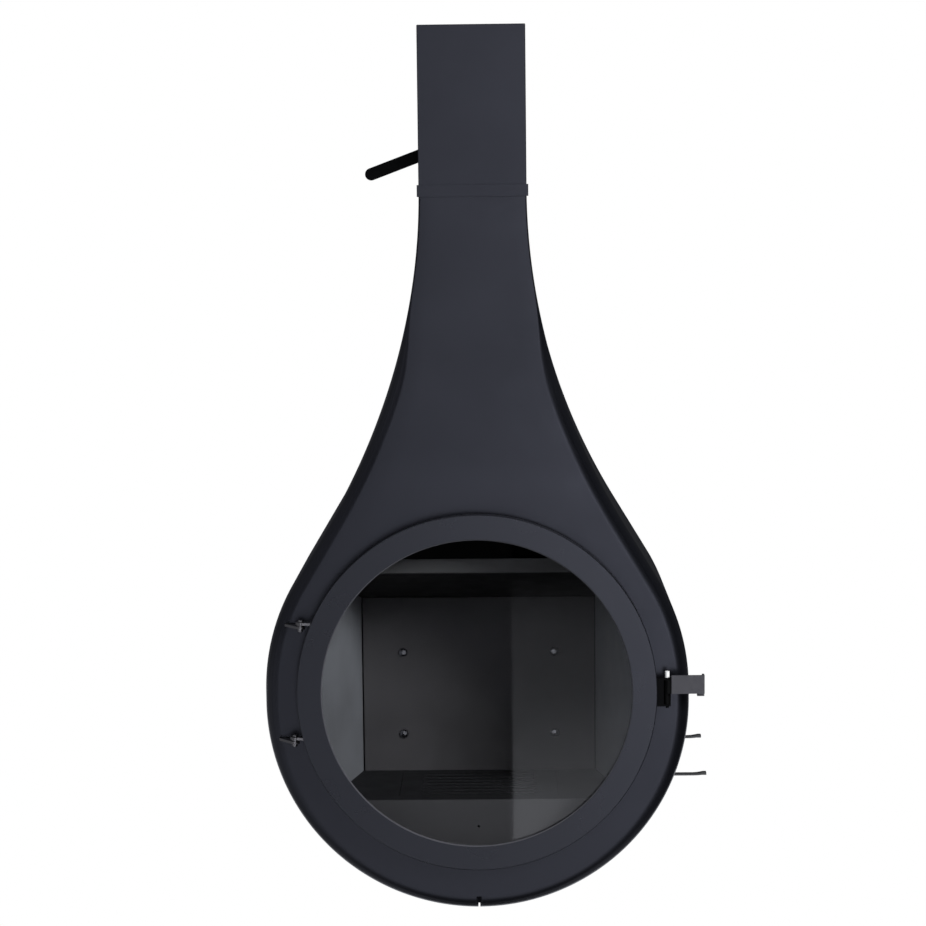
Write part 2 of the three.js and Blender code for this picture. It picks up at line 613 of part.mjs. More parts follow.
const stackEnd = STACK_GAP + TAB_THICKNESS + CLEARANCE;
const PIN_HEAD = 5.5; // radius
const PIN_HEAD_HEIGHT = 4;
const NUT_RADIUS = 5;
const NUT_HEIGHT = 4.5;
const rimCutter = doorCylinder(RING_RADIUS + CLEARANCE, FACE_Y - 60, FACE_Y + 20);
hingePins.forEach((pin, i) => {
  const name = ['upper', 'lower'][i];
  add(`${name}_body_hinge_tab`, atHinge(bodyTab(), pin), STOVE_PAINT);
  add(`${name}_door_hinge_tab`, cut(atHinge(doorTab(), pin), rimCutter), STOVE_PAINT);
  const headProfile = [
    [0, stackEnd], [PIN_HEAD, stackEnd], [PIN_HEAD, stackEnd + 1.5],
    [PIN_HEAD * 0.7, stackEnd + PIN_HEAD_HEIGHT * 0.85], [0, stackEnd + PIN_HEAD_HEIGHT],
  ].map(([r, h]) => new THREE.Vector2(r, h));
  const head = new THREE.LatheGeometry(headProfile, 16).rotateX(Math.PI / 2);
  const shank = rod(vec(0, 0, -stackEnd - NUT_HEIGHT - 1.5), vec(0, 0, stackEnd + 1), PIN_RADIUS, 16);
  add(`${name}_hinge_pin`, atHinge(join(head, shank), pin), BARE_STEEL);
  const washer = new THREE.Shape().absarc(0, 0, TAB_EYE - 2, 0, 2 * Math.PI);
  washer.holes.push(new THREE.Path().absarc(0, 0, PIN_RADIUS + CLEARANCE, 0, 2 * Math.PI));
  const washerHalf = STACK_GAP - CLEARANCE;
  add(`${name}_hinge_washer`, atHinge(level(washer, -washerHalf, washerHalf, 12), pin), BARE_STEEL);
  const nut = outline(range(6).map((k) => [
    NUT_RADIUS * Math.cos((k * Math.PI) / 3), NUT_RADIUS * Math.sin((k * Math.PI) / 3),
  ]));
  nut.holes.push(new THREE.Path().absarc(0, 0, PIN_RADIUS + CLEARANCE, 0, 2 * Math.PI));
  add(`${name}_hinge_nut`, atHinge(level(nut, -stackEnd - NUT_HEIGHT, -stackEnd, 8), pin), BARE_STEEL);
});

// ---------- latch handle: a flat strip that turns on an upright pin beside the ring ----------
const bracketTop = DOOR_Z + BRACKET_HEIGHT / 2;
const bracketLow = bracketTop - BRACKET_HEIGHT;
const LUG = 3.5;
const latchPin = (z) => vec(LATCH_PIN_X, PIN_Y, z);
const lugFront = PIN_Y - 8;
const lugBack = PIN_Y + 8;
const bracketRoot = RING_RADIUS - 8;
add('latch_bracket', cut(
  join(
    block(bracketRoot, LATCH_PIN_X - KNUCKLE_RADIUS - CLEARANCE, lugFront, lugBack, bracketLow, bracketTop),
    block(bracketRoot + 1, LATCH_PIN_X + 6, lugFront, lugBack, bracketTop - LUG, bracketTop),
    block(bracketRoot + 1, LATCH_PIN_X + 6, lugFront, lugBack, bracketLow, bracketLow + LUG),
  ),
  rimCutter,
  rod(latchPin(bracketLow - 5), latchPin(bracketTop + 5), PIN_RADIUS + CLEARANCE),
), STOVE_PAINT);

add('latch_pin', join(
  rod(latchPin(bracketLow - 4), latchPin(bracketTop + 2), PIN_RADIUS),
  rod(latchPin(bracketTop + CLEARANCE), latchPin(bracketTop + LATCH_HEAD), 4.2),
), BARE_STEEL);

const knuckleTop = bracketTop - LUG - CLEARANCE;
const knuckleLow = bracketLow + LUG + CLEARANCE;
const stripTop = DOOR_Z + HANDLE_RISE + HANDLE_HEIGHT / 2;
const stripLow = stripTop - HANDLE_HEIGHT;
const stripFront = PIN_Y - 12;
const stripBack = stripFront + HANDLE_PLATE;
const stripStart = LATCH_PIN_X + 7;
const noseTop = bracketLow + 22;
add('latch_handle', cut(
  join(
    rod(latchPin(knuckleLow), latchPin(knuckleTop), KNUCKLE_RADIUS),
    block(LATCH_PIN_X, stripStart + 2, stripBack - 1, PIN_Y - 2, stripLow, knuckleTop),
    block(stripStart, HANDLE_END, stripFront, stripBack, stripLow, stripTop),
    block(HANDLE_END - HANDLE_PLATE, HANDLE_END, stripFront + 1, stripBack + 12, stripLow, stripTop),
    block(HANDLE_END - 13, HANDLE_END, stripBack + 4, stripBack + 12, stripLow - 6, stripLow + 1),
    block(LATCH_PIN_X - 2.5, LATCH_PIN_X + 2.5, PIN_Y + 3, PIN_Y + 18, noseTop - 8, noseTop),
  ),
  rod(latchPin(bracketLow - 5), latchPin(bracketTop + 5), PIN_RADIUS + CLEARANCE, 16),
), BODY_PAINT);

add('latch_strike', block(
  LATCH_PIN_X - 10, LATCH_PIN_X - 2.5 - CLEARANCE,
  FACE_Y - 13, FACE_Y - CLEARANCE, noseTop - 14, noseTop + 6,
), BARE_STEEL);

// ---------- firebox: flat plates, the sides opening towards the door ----------
const rear = FIREBOX_REAR;
const front = -FIREBOX_FRONT;
/** Half width inside the firebox at a depth. */
const fireboxHalf = (y) => THREE.MathUtils.mapLinear(y, front, rear, FIREBOX_FRONT_HALF, FIREBOX_REAR_HALF);
/** The firebox's plan between two depths, drawn in by a margin at the sides. */
const plan = (yFront, yBack, margin) => outline([
  [-fireboxHalf(yFront) + margin, yFront], [fireboxHalf(yFront) - margin, yFront],
  [fireboxHalf(yBack) - margin, yBack], [-fireboxHalf(yBack) + margin, yBack],
]);
const hoodZ = DOOR_Z + HOOD_ABOVE_DOOR;
const doorway = doorCylinder(SEAT_RADIUS, FACE_Y - CUT_PAST, rear - CUT_PAST);
const frontPlateRadius = RING_RADIUS + FRONT_PLATE_PAST_RING;

add('firebox_front', cut(
  doorCylinder(frontPlateRadius, front - FIREBOX_PLATE, front - CLEARANCE),
  doorway,
  block(
    -frontPlateRadius, frontPlateRadius, FACE_Y, front + CUT_PAST,
    DOOR_Z + RING_RADIUS + FRONT_PLATE_TOP, DOOR_Z + frontPlateRadius + CUT_PAST,
  ),
), STOVE_PAINT);
const backHalf = FIREBOX_REAR_HALF + FIREBOX_PLATE;
add('firebox_back', block(
  -backHalf, backHalf, rear + CLEARANCE, rear + CLEARANCE + FIREBOX_PLATE, FLOOR_Z - ASH_BOX_DEPTH, hoodZ,
), STOVE_PAINT);

[-1, 1].forEach((side) => {
  const wall = outline([
    [side * fireboxHalf(front), front], [side * (fireboxHalf(front) + FIREBOX_PLATE), front],
    [side * (fireboxHalf(rear) + FIREBOX_PLATE), rear], [side * fireboxHalf(rear), rear],
  ]);
  const name = side < 0 ? 'left' : 'right';
  add(`firebox_${name}_wall`, level(wall, FLOOR_Z - FIREBOX_PLATE, hoodZ), STOVE_PAINT);
});

// ---------- hearth floor, grate, ash box and apron ----------
const APRON_TOP_Y = -165;
const floorShape = plan(APRON_TOP_Y, rear, CLEARANCE);
floorShape.holes.push(new THREE.Path([
  [-GRATE_HALF_WIDTH, -GRATE_FRONT], [-GRATE_HALF_WIDTH, GRATE_REAR],
  [GRATE_HALF_WIDTH, GRATE_REAR], [GRATE_HALF_WIDTH, -GRATE_FRONT],
].map(([x, y]) => new THREE.Vector2(x, y))));
add('hearth_floor', level(floorShape, FLOOR_Z - FIREBOX_PLATE, FLOOR_Z), CAST_IRON);

const grateHalf = GRATE_HALF_WIDTH - CLEARANCE * 3;
const grateDeep = GRATE_REAR + GRATE_FRONT - CLEARANCE * 6;
const grateMiddle = (GRATE_REAR - GRATE_FRONT) / 2;
const grateShape = outline([
  [-grateHalf, grateMiddle - grateDeep / 2], [grateHalf, grateMiddle - grateDeep / 2],
  [grateHalf, grateMiddle + grateDeep / 2], [-grateHalf, grateMiddle + grateDeep / 2],
]);
const slotPitch = (grateDeep - 20) / GRATE_SLOTS;
range(GRATE_SLOTS).forEach((i) => {
  const y = grateMiddle + (i - (GRATE_SLOTS - 1) / 2) * slotPitch;
  const reach = (GRATE_SLOT_LENGTH - GRATE_SLOT_WIDTH) / 2;
  const slot = new THREE.Path();
  slot.absarc(reach, y, GRATE_SLOT_WIDTH / 2, -Math.PI / 2, Math.PI / 2, false);
  slot.absarc(-reach, y, GRATE_SLOT_WIDTH / 2, Math.PI / 2, Math.PI * 1.5, false);
  grateShape.holes.push(slot);
});
const grateTop = FLOOR_Z - CLEARANCE;
add('grate', level(grateShape, grateTop - GRATE_THICKNESS, grateTop, 4), CAST_IRON);

const ashTop = grateTop - GRATE_THICKNESS - CLEARANCE;
const ashLow = FLOOR_Z - ASH_BOX_DEPTH;
const LEDGE = 5; // the grate rests on this much of the ash box's rim
const ashHalf = GRATE_HALF_WIDTH + ASH_BOX_MARGIN;
const ashFront = -GRATE_FRONT - 8;
const ashRear = rear - CLEARANCE;
add('ash_box', cut(
  block(-ashHalf, ashHalf, ashFront, ashRear, ashLow, ashTop),
  block(
    -GRATE_HALF_WIDTH + LEDGE, GRATE_HALF_WIDTH - LEDGE,
    -GRATE_FRONT + LEDGE, GRATE_REAR - LEDGE, ashLow + FIREBOX_PLATE, ashTop + 10,
  ),
), STOVE_PAINT);

const apronSide = outline([
  [APRON_TOP_Y, FLOOR_Z], [APRON_TOP_Y - FIREBOX_PLATE, FLOOR_Z],
  [front + CLEARANCE, ashLow - 6], [front + CLEARANCE + FIREBOX_PLATE, ashLow - 6],
]);
const apronHoleZ = DOOR_Z - APRON_HOLE_BELOW_DOOR;
add('hearth_apron', cut(
  common(across(apronSide, -APRON_HALF_WIDTH, APRON_HALF_WIDTH), doorCylinder(frontPlateRadius, FACE_Y, 0)),
  rod(vec(0, FACE_Y, apronHoleZ), vec(0, 0, apronHoleZ), APRON_HOLE / 2),
), STOVE_PAINT);

// ---------- back lining and its four screws ----------
const liningTopZ = DOOR_Z + LINING_ABOVE_DOOR;
const liningFront = rear - LINING - CLEARANCE;
const liningHalf = fireboxHalf(liningFront) - 2;
add('back_lining', block(
  -liningHalf + 2, liningHalf - 2, liningFront, rear - CLEARANCE, FLOOR_Z + CLEARANCE, liningTopZ,
), CAST_IRON);
[[-1, LINING_SCREW_ABOVE_DOOR], [1, LINING_SCREW_ABOVE_DOOR],
  [-1, -LINING_SCREW_BELOW_DOOR], [1, -LINING_SCREW_BELOW_DOOR]].forEach(([side, above], i) => {
  const dome = new THREE.SphereGeometry(SCREW_HEAD, 20, 5, 0, 2 * Math.PI, 0, Math.PI / 2);
  const base = new THREE.CircleGeometry(SCREW_HEAD, 20).rotateX(Math.PI / 2);
  const head = mergeGeometries([dome, base]).scale(1, 0.6, 1).rotateX(Math.PI);
  head.translate(side * LINING_SCREW_X, liningFront - CLEARANCE, DOOR_Z + above);
  add(`lining_screw_${i + 1}`, head, BARE_STEEL);
});

// ---------- baffle and its ledges ----------
const baffleLowZ = DOOR_Z + BAFFLE_LIP_ABOVE_DOOR;
const baffleTopZ = baffleLowZ + BAFFLE_LIP;
const baffleRearZ = liningTopZ + 2;
const baffleSide = outline([
  [-BAFFLE_FRONT, baffleTopZ], [-BAFFLE_FRONT, baffleLowZ],
  [liningFront - 1, baffleRearZ], [rear - 1, baffleRearZ],
  [rear - 1, baffleRearZ + BAFFLE_PLATE], [liningFront - 1, baffleRearZ + BAFFLE_PLATE],
  [-BAFFLE_FRONT + BAFFLE_PLATE, baffleLowZ + BAFFLE_PLATE], [-BAFFLE_FRONT + BAFFLE_PLATE, baffleTopZ],
]);
add('smoke_baffle', common(
  across(baffleSide, -FIREBOX_FRONT_HALF, FIREBOX_FRONT_HALF),
  level(plan(front + 5, rear - 0.5, 1), baffleRearZ - CUT_PAST, baffleTopZ + CUT_PAST),
), STOVE_PAINT);

// ---------- smoke hood: four tapering sides that gather into the liner ----------
/** A hollow section of the hood at a height, as points round the flue's axis. */
const hoodNarrowZ = hoodZ + HOOD_SKIRT;
const hoodTopZ = -LINER_LENGTH - HOOD_NECK;
function hoodRing(z, deep) {
  const gather = THREE.MathUtils.clamp((z - hoodNarrowZ) / (hoodTopZ - hoodNarrowZ), 0, 1);
  const low = THREE.MathUtils.clamp((z - hoodZ) / HOOD_SKIRT, 0, 1);
  const frontHalf = THREE.MathUtils.lerp(fireboxHalf(front) + FIREBOX_PLATE, HOOD_FRONT_HALF, low) - deep;
  const rearHalf = THREE.MathUtils.lerp(backHalf, HOOD_REAR_HALF, low) - deep;
  const yFront = front + deep;
  const yBack = rear + FIREBOX_PLATE - deep;
  const round = (LINER_RADIUS + CLEARANCE) / Math.cos(Math.PI / HOOD_SIDES) + FIREBOX_PLATE - deep;
  return range(HOOD_SIDES + 1).map((i) => {
    const angle = Math.PI / 4 + (i * 2 * Math.PI) / HOOD_SIDES;
    const [c, s] = [Math.cos(angle), Math.sin(angle)];
    const reach = Math.max(Math.abs(c), Math.abs(s));
    const v = s / reach;
    const y = THREE.MathUtils.mapLinear(v, -1, 1, yFront, yBack);
    const half = THREE.MathUtils.mapLinear(v, -1, 1, frontHalf, rearHalf);
    return vec(
      THREE.MathUtils.lerp((half * c) / reach, round * c, gather),
      THREE.MathUtils.lerp(y, round * s, gather), z,
    );
  });
}
const hoodLevels = [
  hoodZ + CLEARANCE,
  ...[0, 1 / 3, 2 / 3, 1].map((t) => THREE.MathUtils.lerp(hoodNarrowZ, hoodTopZ, t)),
  -LINER_LENGTH + HOOD_LAP,
];
const hoodGrid = (deep) => hoodLevels.map((z) => hoodRing(z, deep));
const hood = sheet(hoodGrid(0), hoodGrid(FIREBOX_PLATE));
add('smoke_hood', cut(tidy(hood), doorway), STOVE_PAINT);

// ---------- air controls: two levers through the right side band ----------
leverPlaces.forEach((z, i) => {
  const name = ['primary', 'secondary'][i];
  const reach = BODY_RADIUS + [UPPER_LEVER_OUT, LOWER_LEVER_OUT][i];
  const facet = BODY_RADIUS * (1 - Math.cos(Math.PI / 4 / BOTTOM_STEPS));
  const boxLow = z - VALVE_BOX_HEIGHT / 2;
  const boxEnd = roundHalf(BODY_RADIUS - SHELL, boxLow) - facet - CLEARANCE;
  const boxStart = boxEnd - VALVE_BOX_LENGTH;
  /** The box's section, drawn in by a margin. */
  const section = (margin) => {
    const [halfWide, halfHigh] = [VALVE_BOX_WIDTH / 2 - margin, VALVE_BOX_HEIGHT / 2 - margin];
    return outline([
      [LEVER_Y - halfWide, z - halfHigh], [LEVER_Y + halfWide, z - halfHigh],
      [LEVER_Y + halfWide, z + halfHigh], [LEVER_Y - halfWide, z + halfHigh],
    ]);
  };
  add(`${name}_air_valve_box`, cut(
    across(section(0), boxStart, boxEnd), across(section(VALVE_WALL), boxStart - CUT_PAST, boxEnd + CUT_PAST),
  ), STOVE_PAINT);

  const pulledOut = i === 1; // the lower lever is drawn out to its stop, the upper one pushed in
  const shutterStart = boxStart + 1 + (pulledOut ? LEVER_TRAVEL : 0);
  const shutterEnd = boxEnd - 2 - (pulledOut ? 0 : LEVER_TRAVEL);
  const strip = new THREE.Shape();
  const t = LEVER_STRIP / 2;
  strip.moveTo(shutterEnd - 20, z - t);
  strip.lineTo(reach - 26, z - t);
  strip.quadraticCurveTo(reach - 16, z - t, reach - 9, z + 1 - t);
  strip.lineTo(reach, z + 1 - t);
  strip.lineTo(reach, z + 4);
  strip.lineTo(reach - 6, z + 4);
  strip.quadraticCurveTo(reach - 16, z + t, reach - 26, z + t);
  strip.lineTo(shutterEnd - 20, z + t);
  const lever = upright(strip, LEVER_Y - LEVER_WIDTH / 2, LEVER_Y + LEVER_WIDTH / 2, 4);
  add(`${name}_air_lever`, lever, STOVE_PAINT);

  const shutterHalf = VALVE_BOX_WIDTH / 2 - VALVE_WALL - CLEARANCE;
  add(`${name}_air_shutter`, block(
    shutterStart, shutterEnd, LEVER_Y - shutterHalf, LEVER_Y + shutterHalf,
    z - t - CLEARANCE - 2.5, z - t - CLEARANCE,
  ), BARE_STEEL);
});

export default group;
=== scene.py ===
# %% [markdown]
# # A hanging fireplace, dressed for the camera
#
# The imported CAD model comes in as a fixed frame: every solid, every joint and every size is
# already there. This notebook adds what a camera sees and a solid doesn't hold: curves without
# facets, satin paint, blackened iron, ceramic glass, the braid of a rope seal, and the light of
# a small studio. Lengths are metres, +Z is up, the door faces -Y, and the origin is the centre
# of the flue's open top end.

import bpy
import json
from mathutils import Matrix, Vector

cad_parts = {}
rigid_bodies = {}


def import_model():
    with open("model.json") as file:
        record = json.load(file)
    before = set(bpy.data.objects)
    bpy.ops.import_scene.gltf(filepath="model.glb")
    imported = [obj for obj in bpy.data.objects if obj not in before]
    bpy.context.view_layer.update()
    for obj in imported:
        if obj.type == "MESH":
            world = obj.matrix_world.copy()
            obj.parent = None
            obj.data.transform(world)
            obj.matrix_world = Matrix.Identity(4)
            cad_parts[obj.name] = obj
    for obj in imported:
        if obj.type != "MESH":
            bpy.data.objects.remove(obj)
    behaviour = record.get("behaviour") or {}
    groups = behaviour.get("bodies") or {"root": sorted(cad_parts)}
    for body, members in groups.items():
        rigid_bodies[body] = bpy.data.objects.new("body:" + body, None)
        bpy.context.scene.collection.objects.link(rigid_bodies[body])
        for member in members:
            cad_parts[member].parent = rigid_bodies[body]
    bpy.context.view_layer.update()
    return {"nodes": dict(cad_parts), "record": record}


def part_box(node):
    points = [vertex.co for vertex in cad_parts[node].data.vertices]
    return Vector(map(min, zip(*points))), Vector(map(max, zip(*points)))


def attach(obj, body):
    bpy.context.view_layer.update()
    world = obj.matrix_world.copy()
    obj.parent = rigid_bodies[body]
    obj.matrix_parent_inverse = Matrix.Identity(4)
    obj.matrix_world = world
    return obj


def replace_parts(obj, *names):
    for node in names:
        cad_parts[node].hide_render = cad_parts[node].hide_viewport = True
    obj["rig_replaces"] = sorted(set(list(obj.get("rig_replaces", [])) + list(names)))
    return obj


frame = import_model()

import json

import bmesh
import bpy
import numpy as np
from mathutils import Matrix, Vector

NODES = frame["nodes"]

# %% [markdown]
# ## The sizes that the shapes share
#
# The same values as in the CAD source, in metres. A smooth piece that is built from the same
# numbers as its solid lies on it everywhere, so nothing has to be fitted by eye.

# %% Sizes
FLUE_HALF = 0.100
NECK_RADIUS = 1.17799
NECK_START = -0.300
BODY_RADIUS = 0.3915
SHOULDER_Z = -1.220
BOTTOM_ARC_Z = -1.243
HALF_DEPTH = 0.215
CLEARANCE = 0.0003

DOOR_Z = -1.219
FACE_Y = -HALF_DEPTH
RING_Y = FACE_Y - 0.035
RING_RADIUS = 0.330
GLASS_OPENING = 0.2835
SEAT_RADIUS, SEAT_WALL = 0.308, 0.004
print("body", 2 * BODY_RADIUS, "wide and", 2 * HALF_DEPTH, "deep; glass", 2 * GLASS_OPENING, "across")

# %% [markdown]
# ## Objects from points
#
# Every curved piece below is a grid of points with a formula. Blender takes such points as a mesh
# of vertices and faces. Shading is smooth, except at edges that turn by more than SHARP_ANGLE, so
# that a fold in the steel still reads as a fold.

# %% Points and faces
SHARP_ANGLE = 35
WELD_DISTANCE = 1e-6


def shade_smooth(mesh, sharp_angle=SHARP_ANGLE):
    """Smooth shading, with edges above sharp_angle degrees kept sharp."""
    mesh.polygons.foreach_set("use_smooth", np.ones(len(mesh.polygons), bool))
    mesh.update()
    mesh.set_sharp_from_angle(angle=np.radians(sharp_angle))


def new_object(name, points, faces, sharp_angle=SHARP_ANGLE):
    """A mesh object from points and faces."""
    mesh = bpy.data.meshes.new(name)
    mesh.from_pydata([tuple(p) for p in points], [], [tuple(f) for f in faces])
    mesh.validate()
    shade_smooth(mesh, sharp_angle)
    made = bpy.data.objects.new(name, mesh)
    bpy.context.scene.collection.objects.link(made)
    return made


def weld(obj):
    """Merges points that lie together, drops what that leaves flat, and turns faces outwards."""
    bm = bmesh.new()
    bm.from_mesh(obj.data)
    bmesh.ops.remove_doubles(bm, verts=bm.verts, dist=WELD_DISTANCE)
    bmesh.ops.dissolve_degenerate(bm, edges=bm.edges, dist=WELD_DISTANCE)
    bmesh.ops.recalc_face_normals(bm, faces=bm.faces)
    bm.to_mesh(obj.data)
    bm.free()


def show(piece, body, slot, *nodes):
    """The piece rides on a body and stands for CAD nodes. The slot argument is not used."""
    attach(piece, body)
    if nodes:
        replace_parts(piece, *nodes)
    return piece


# %% [markdown]
# ## Closed skins
#
# Formed steel sheet has two sides and an edge. A Solidify modifier could thicken one surface, but
# its rim would stand square to the curve. Here the outside and the inside are both computed, and
# `sheet` walls the rim between them, so the cut edges lie where the CAD has them.


# %% Sheets
def grid_faces(rows, columns, start=0, flip=False):
    """The quads of a grid of rows x columns points numbered row by row from start."""
    a = (np.arange(rows - 1)[:, None] * columns + np.arange(columns - 1)[None, :]).ravel() + start
    quads = np.stack([a, a + columns, a + columns + 1, a + 1], 1)
    return quads[:, ::-1] if flip else quads


def sheet(name, outer, inner):
    """A closed skin between two grids of points of shape (rows, columns, 3)."""
    rows, columns = outer.shape[:2]
    count = rows * columns
    quads = [grid_faces(rows, columns), grid_faces(rows, columns, count, flip=True)]
    rim = np.concatenate([
        np.arange(columns),
        np.arange(1, rows) * columns + columns - 1,
        (rows - 1) * columns + np.arange(columns - 2, -1, -1),
        np.arange(rows - 2, 0, -1) * columns,
    ])
    after = np.roll(rim, -1)
    quads.append(np.stack([rim, after, after + count, rim + count], 1))
    points = np.concatenate([outer.reshape(-1, 3), inner.reshape(-1, 3)])
    made = new_object(name, points, np.concatenate(quads))
    weld(made)
    return made


# %% [markdown]
# ## Turned pieces
#
# The door's ring, its seat and the glass are round about one axis. `lathe` turns a profile about
# it, point by point, as on a real lathe. `rounded` first eases the profile's corners, because a
# corner without a radius never catches the light.

# %% Lathe
TURNS = 256


def ring_quads(around, across):
    """The quads of a grid of around x across points that closes on itself both ways."""
    i, j = np.meshgrid(np.arange(around), np.arange(across), indexing="ij")
    i2, j2 = (i + 1) % around, (j + 1) % across
    corners = [i * across + j, i * across + j2, i2 * across + j2, i2 * across + j]
    return np.stack(corners, 2).reshape(-1, 4)


def lathe(name, profile):
    """A closed profile of (radius, y) pairs turned about the door's axis."""
    profile = np.asarray(profile, float)
    turn = np.linspace(0, 2 * np.pi, TURNS, endpoint=False)
    r, y = profile[:, 0], profile[:, 1]
    x = np.cos(turn)[:, None] * r[None, :]
    z = np.sin(turn)[:, None] * r[None, :] + DOOR_Z
    points = np.stack([x, np.broadcast_to(y, x.shape), z], 2).reshape(-1, 3)
    made = new_object(name, points, ring_quads(TURNS, len(profile)))
    weld(made)
    return made


def rounded(profile, radius, steps=3):
    """
    The profile with each corner replaced by an arc of about that radius, and a point on either side
    of it, so that the flats between stay flat under smooth shading.
    """
    profile = np.asarray(profile, float)
    out = []
    for k, corner in enumerate(profile):
        before, after = profile[k - 1], profile[(k + 1) % len(profile)]
        to_before, to_after = np.linalg.norm(before - corner), np.linalg.norm(after - corner)
        u, v = (before - corner) / to_before, (after - corner) / to_after
        reach = min(radius, 0.45 * to_before, 0.45 * to_after)
        a, b = corner + u * reach, corner + v * reach
        out.append(corner + u * reach * 1.1)
        for s in np.linspace(0, 1, steps + 1):
            out.append((1 - s) ** 2 * a + 2 * s * (1 - s) * corner + s * s * b)
        out.append(corner + v * reach * 1.1)
    return np.array(out)


# %% [markdown]
# ## Cutting
#
# Openings in the real shell are cut with a laser after forming. A Boolean does the same here: the
# exact solver takes a cutter's volume out, and the cutter goes away once the cut is in the mesh.


# %% Cutters
def cut_out(obj, *cutters):
    """Takes the cutters' volumes out of obj and deletes them."""
    for cutter in cutters:
        modifier = obj.modifiers.new("cut", "BOOLEAN")
        modifier.operation = "DIFFERENCE"
        modifier.solver = "EXACT"
        modifier.object = cutter
        bpy.context.view_layer.update()
        evaluated = obj.evaluated_get(bpy.context.evaluated_depsgraph_get())
        mesh = bpy.data.meshes.new_from_object(evaluated)
        obj.modifiers.clear()
        old = obj.data
        obj.data = mesh
        bpy.data.meshes.remove(old)
        bpy.data.objects.remove(cutter)
    shade_smooth(obj.data)


def cutter_box(low, high):
    """A box that only cuts."""
    low, high = np.array(low, float), np.array(high, float)
    unit = np.array([[x, y, z] for x in (0, 1) for y in (0, 1) for z in (0, 1)])
    faces = [(0, 1, 3, 2), (4, 6, 7, 5), (0, 4, 5, 1), (2, 3, 7, 6), (0, 2, 6, 4), (1, 5, 7, 3)]
    return new_object("cutter", unit * (high - low) + low, faces)


# %% [markdown]
# ## The camera
#
# It stands 4.6 m in front of the door at the height of the flue's collar, a little to the right,
# and looks down by about six degrees. The numbers were fitted until the solids' outline lay on the
# photograph's. The small roll levels the picture as it was taken.

# %% Camera
EYE = (0.065, -4.600, -0.3157)
FOCAL_PIXELS, PICTURE_PIXELS = 2420, 926
SENSOR = 36
YAW, PITCH, ROLL_ANGLE = np.radians([1.123, 6.267, 0.65])

ahead = Vector((-np.sin(YAW) * np.cos(PITCH), np.cos(YAW) * np.cos(PITCH), -np.sin(PITCH)))
right = Vector((np.cos(YAW), np.sin(YAW), 0))
up = right.cross(ahead)
right, up = (
    right * np.cos(ROLL_ANGLE) - up * np.sin(ROLL_ANGLE),
    right * np.sin(ROLL_ANGLE) + up * np.cos(ROLL_ANGLE),
)
camera = bpy.data.objects.new("camera", bpy.data.cameras.new("camera"))
bpy.context.scene.collection.objects.link(camera)
camera.data.sensor_width = SENSOR
camera.data.lens = SENSOR * FOCAL_PIXELS / PICTURE_PIXELS
camera.data.clip_end = 60
camera.matrix_world = Matrix.Translation(EYE) @ Matrix((right, up, -ahead)).transposed().to_4x4()
bpy.context.scene.camera = camera
print("camera lens", round(camera.data.lens, 2), "mm")

# %% [markdown]
# ## Node helpers
#
# Shaders and the world are graphs of nodes. These few functions make a node, link numbers or
# outputs into it, and hand back its output, so that a graph reads like a sum. A colour ramp is
# stored as 256 samples and can't hold a sharp step over a wide range, so `within` makes steps from
# arithmetic instead.


# %% Node helpers
def node(tree, kind, **values):
    """A shader node with attributes and input values set by name."""
    made = tree.nodes.new(kind)
    for key, value in values.items():
        if hasattr(made, key):
            setattr(made, key, value)
        else:
            made.inputs[key.replace("_", " ")].default_value = value
    return made


def math_node(tree, operation, a, b=None):
    """A Math node on outputs or numbers."""
    made = node(tree, "ShaderNodeMath", operation=operation)
    for socket, value in zip(made.inputs, (a, b)):
        if value is None:
            continue
        if isinstance(value, (int, float)):
            socket.default_value = value
        else:
            tree.links.new(value, socket)
    return made.outputs[0]


def curve(tree, source, low, high, stops):
    """A grey level read from stops of (place, level) between low and high, straight in between."""
    place = tree.nodes.new("ShaderNodeMapRange")
    place.inputs[1].default_value, place.inputs[2].default_value = low, high
    tree.links.new(source, place.inputs[0])
    ramp = tree.nodes.new("ShaderNodeValToRGB")
    while len(ramp.color_ramp.elements) < len(stops):
        ramp.color_ramp.elements.new(0.5)
    for element, (at, level) in zip(ramp.color_ramp.elements, stops):
        element.position = (at - low) / (high - low)
        element.color = (level, level, level, 1)
    tree.links.new(place.outputs[0], ramp.inputs[0])
    return ramp.outputs[0]


def within(tree, source, low, high):
    """1 between low and high and 0 elsewhere, with sharp sides."""
    away = math_node(tree, "ABSOLUTE", math_node(tree, "SUBTRACT", source, (low + high) / 2))
    return math_node(tree, "LESS_THAN", away, (high - low) / 2)


def swap(tree, whole, part, inside):
    """whole where inside is 0 and part where it is 1."""
    kept = math_node(tree, "MULTIPLY", whole, math_node(tree, "SUBTRACT", 1.0, inside))
    return math_node(tree, "ADD", kept, math_node(tree, "MULTIPLY", part, inside))


# %% [markdown]
# ## The studio
#
# Dark paint shows little colour of its own: what the eye reads on it is the room. So the room is
# drawn as a brightness for each direction, by azimuth (0 is towards the door's side, 90 to the
# right) and elevation. Real lamps and black cloths would do it too, but they would have to be
# hidden from the camera and would cost samples.

# %% Directions
scene = bpy.context.scene
scene.view_settings.view_transform = "Standard"
scene.world = bpy.data.worlds.new("studio")
scene.world.use_nodes = True
tree = scene.world.node_tree
tree.nodes.clear()

TO_DEGREES = 180 / np.pi
direction = tree.nodes.new("ShaderNodeTexCoord").outputs["Generated"]
parts = tree.nodes.new("ShaderNodeSeparateXYZ")
tree.links.new(direction, parts.inputs[0])
towards = math_node(tree, "MULTIPLY", parts.outputs["Y"], -1.0)
turned = math_node(tree, "ARCTAN2", parts.outputs["X"], towards)
azimuth = math_node(tree, "MULTIPLY", turned, TO_DEGREES)
elevation = math_node(tree, "MULTIPLY", math_node(tree, "ARCSINE", parts.outputs["Z"]), TO_DEGREES)

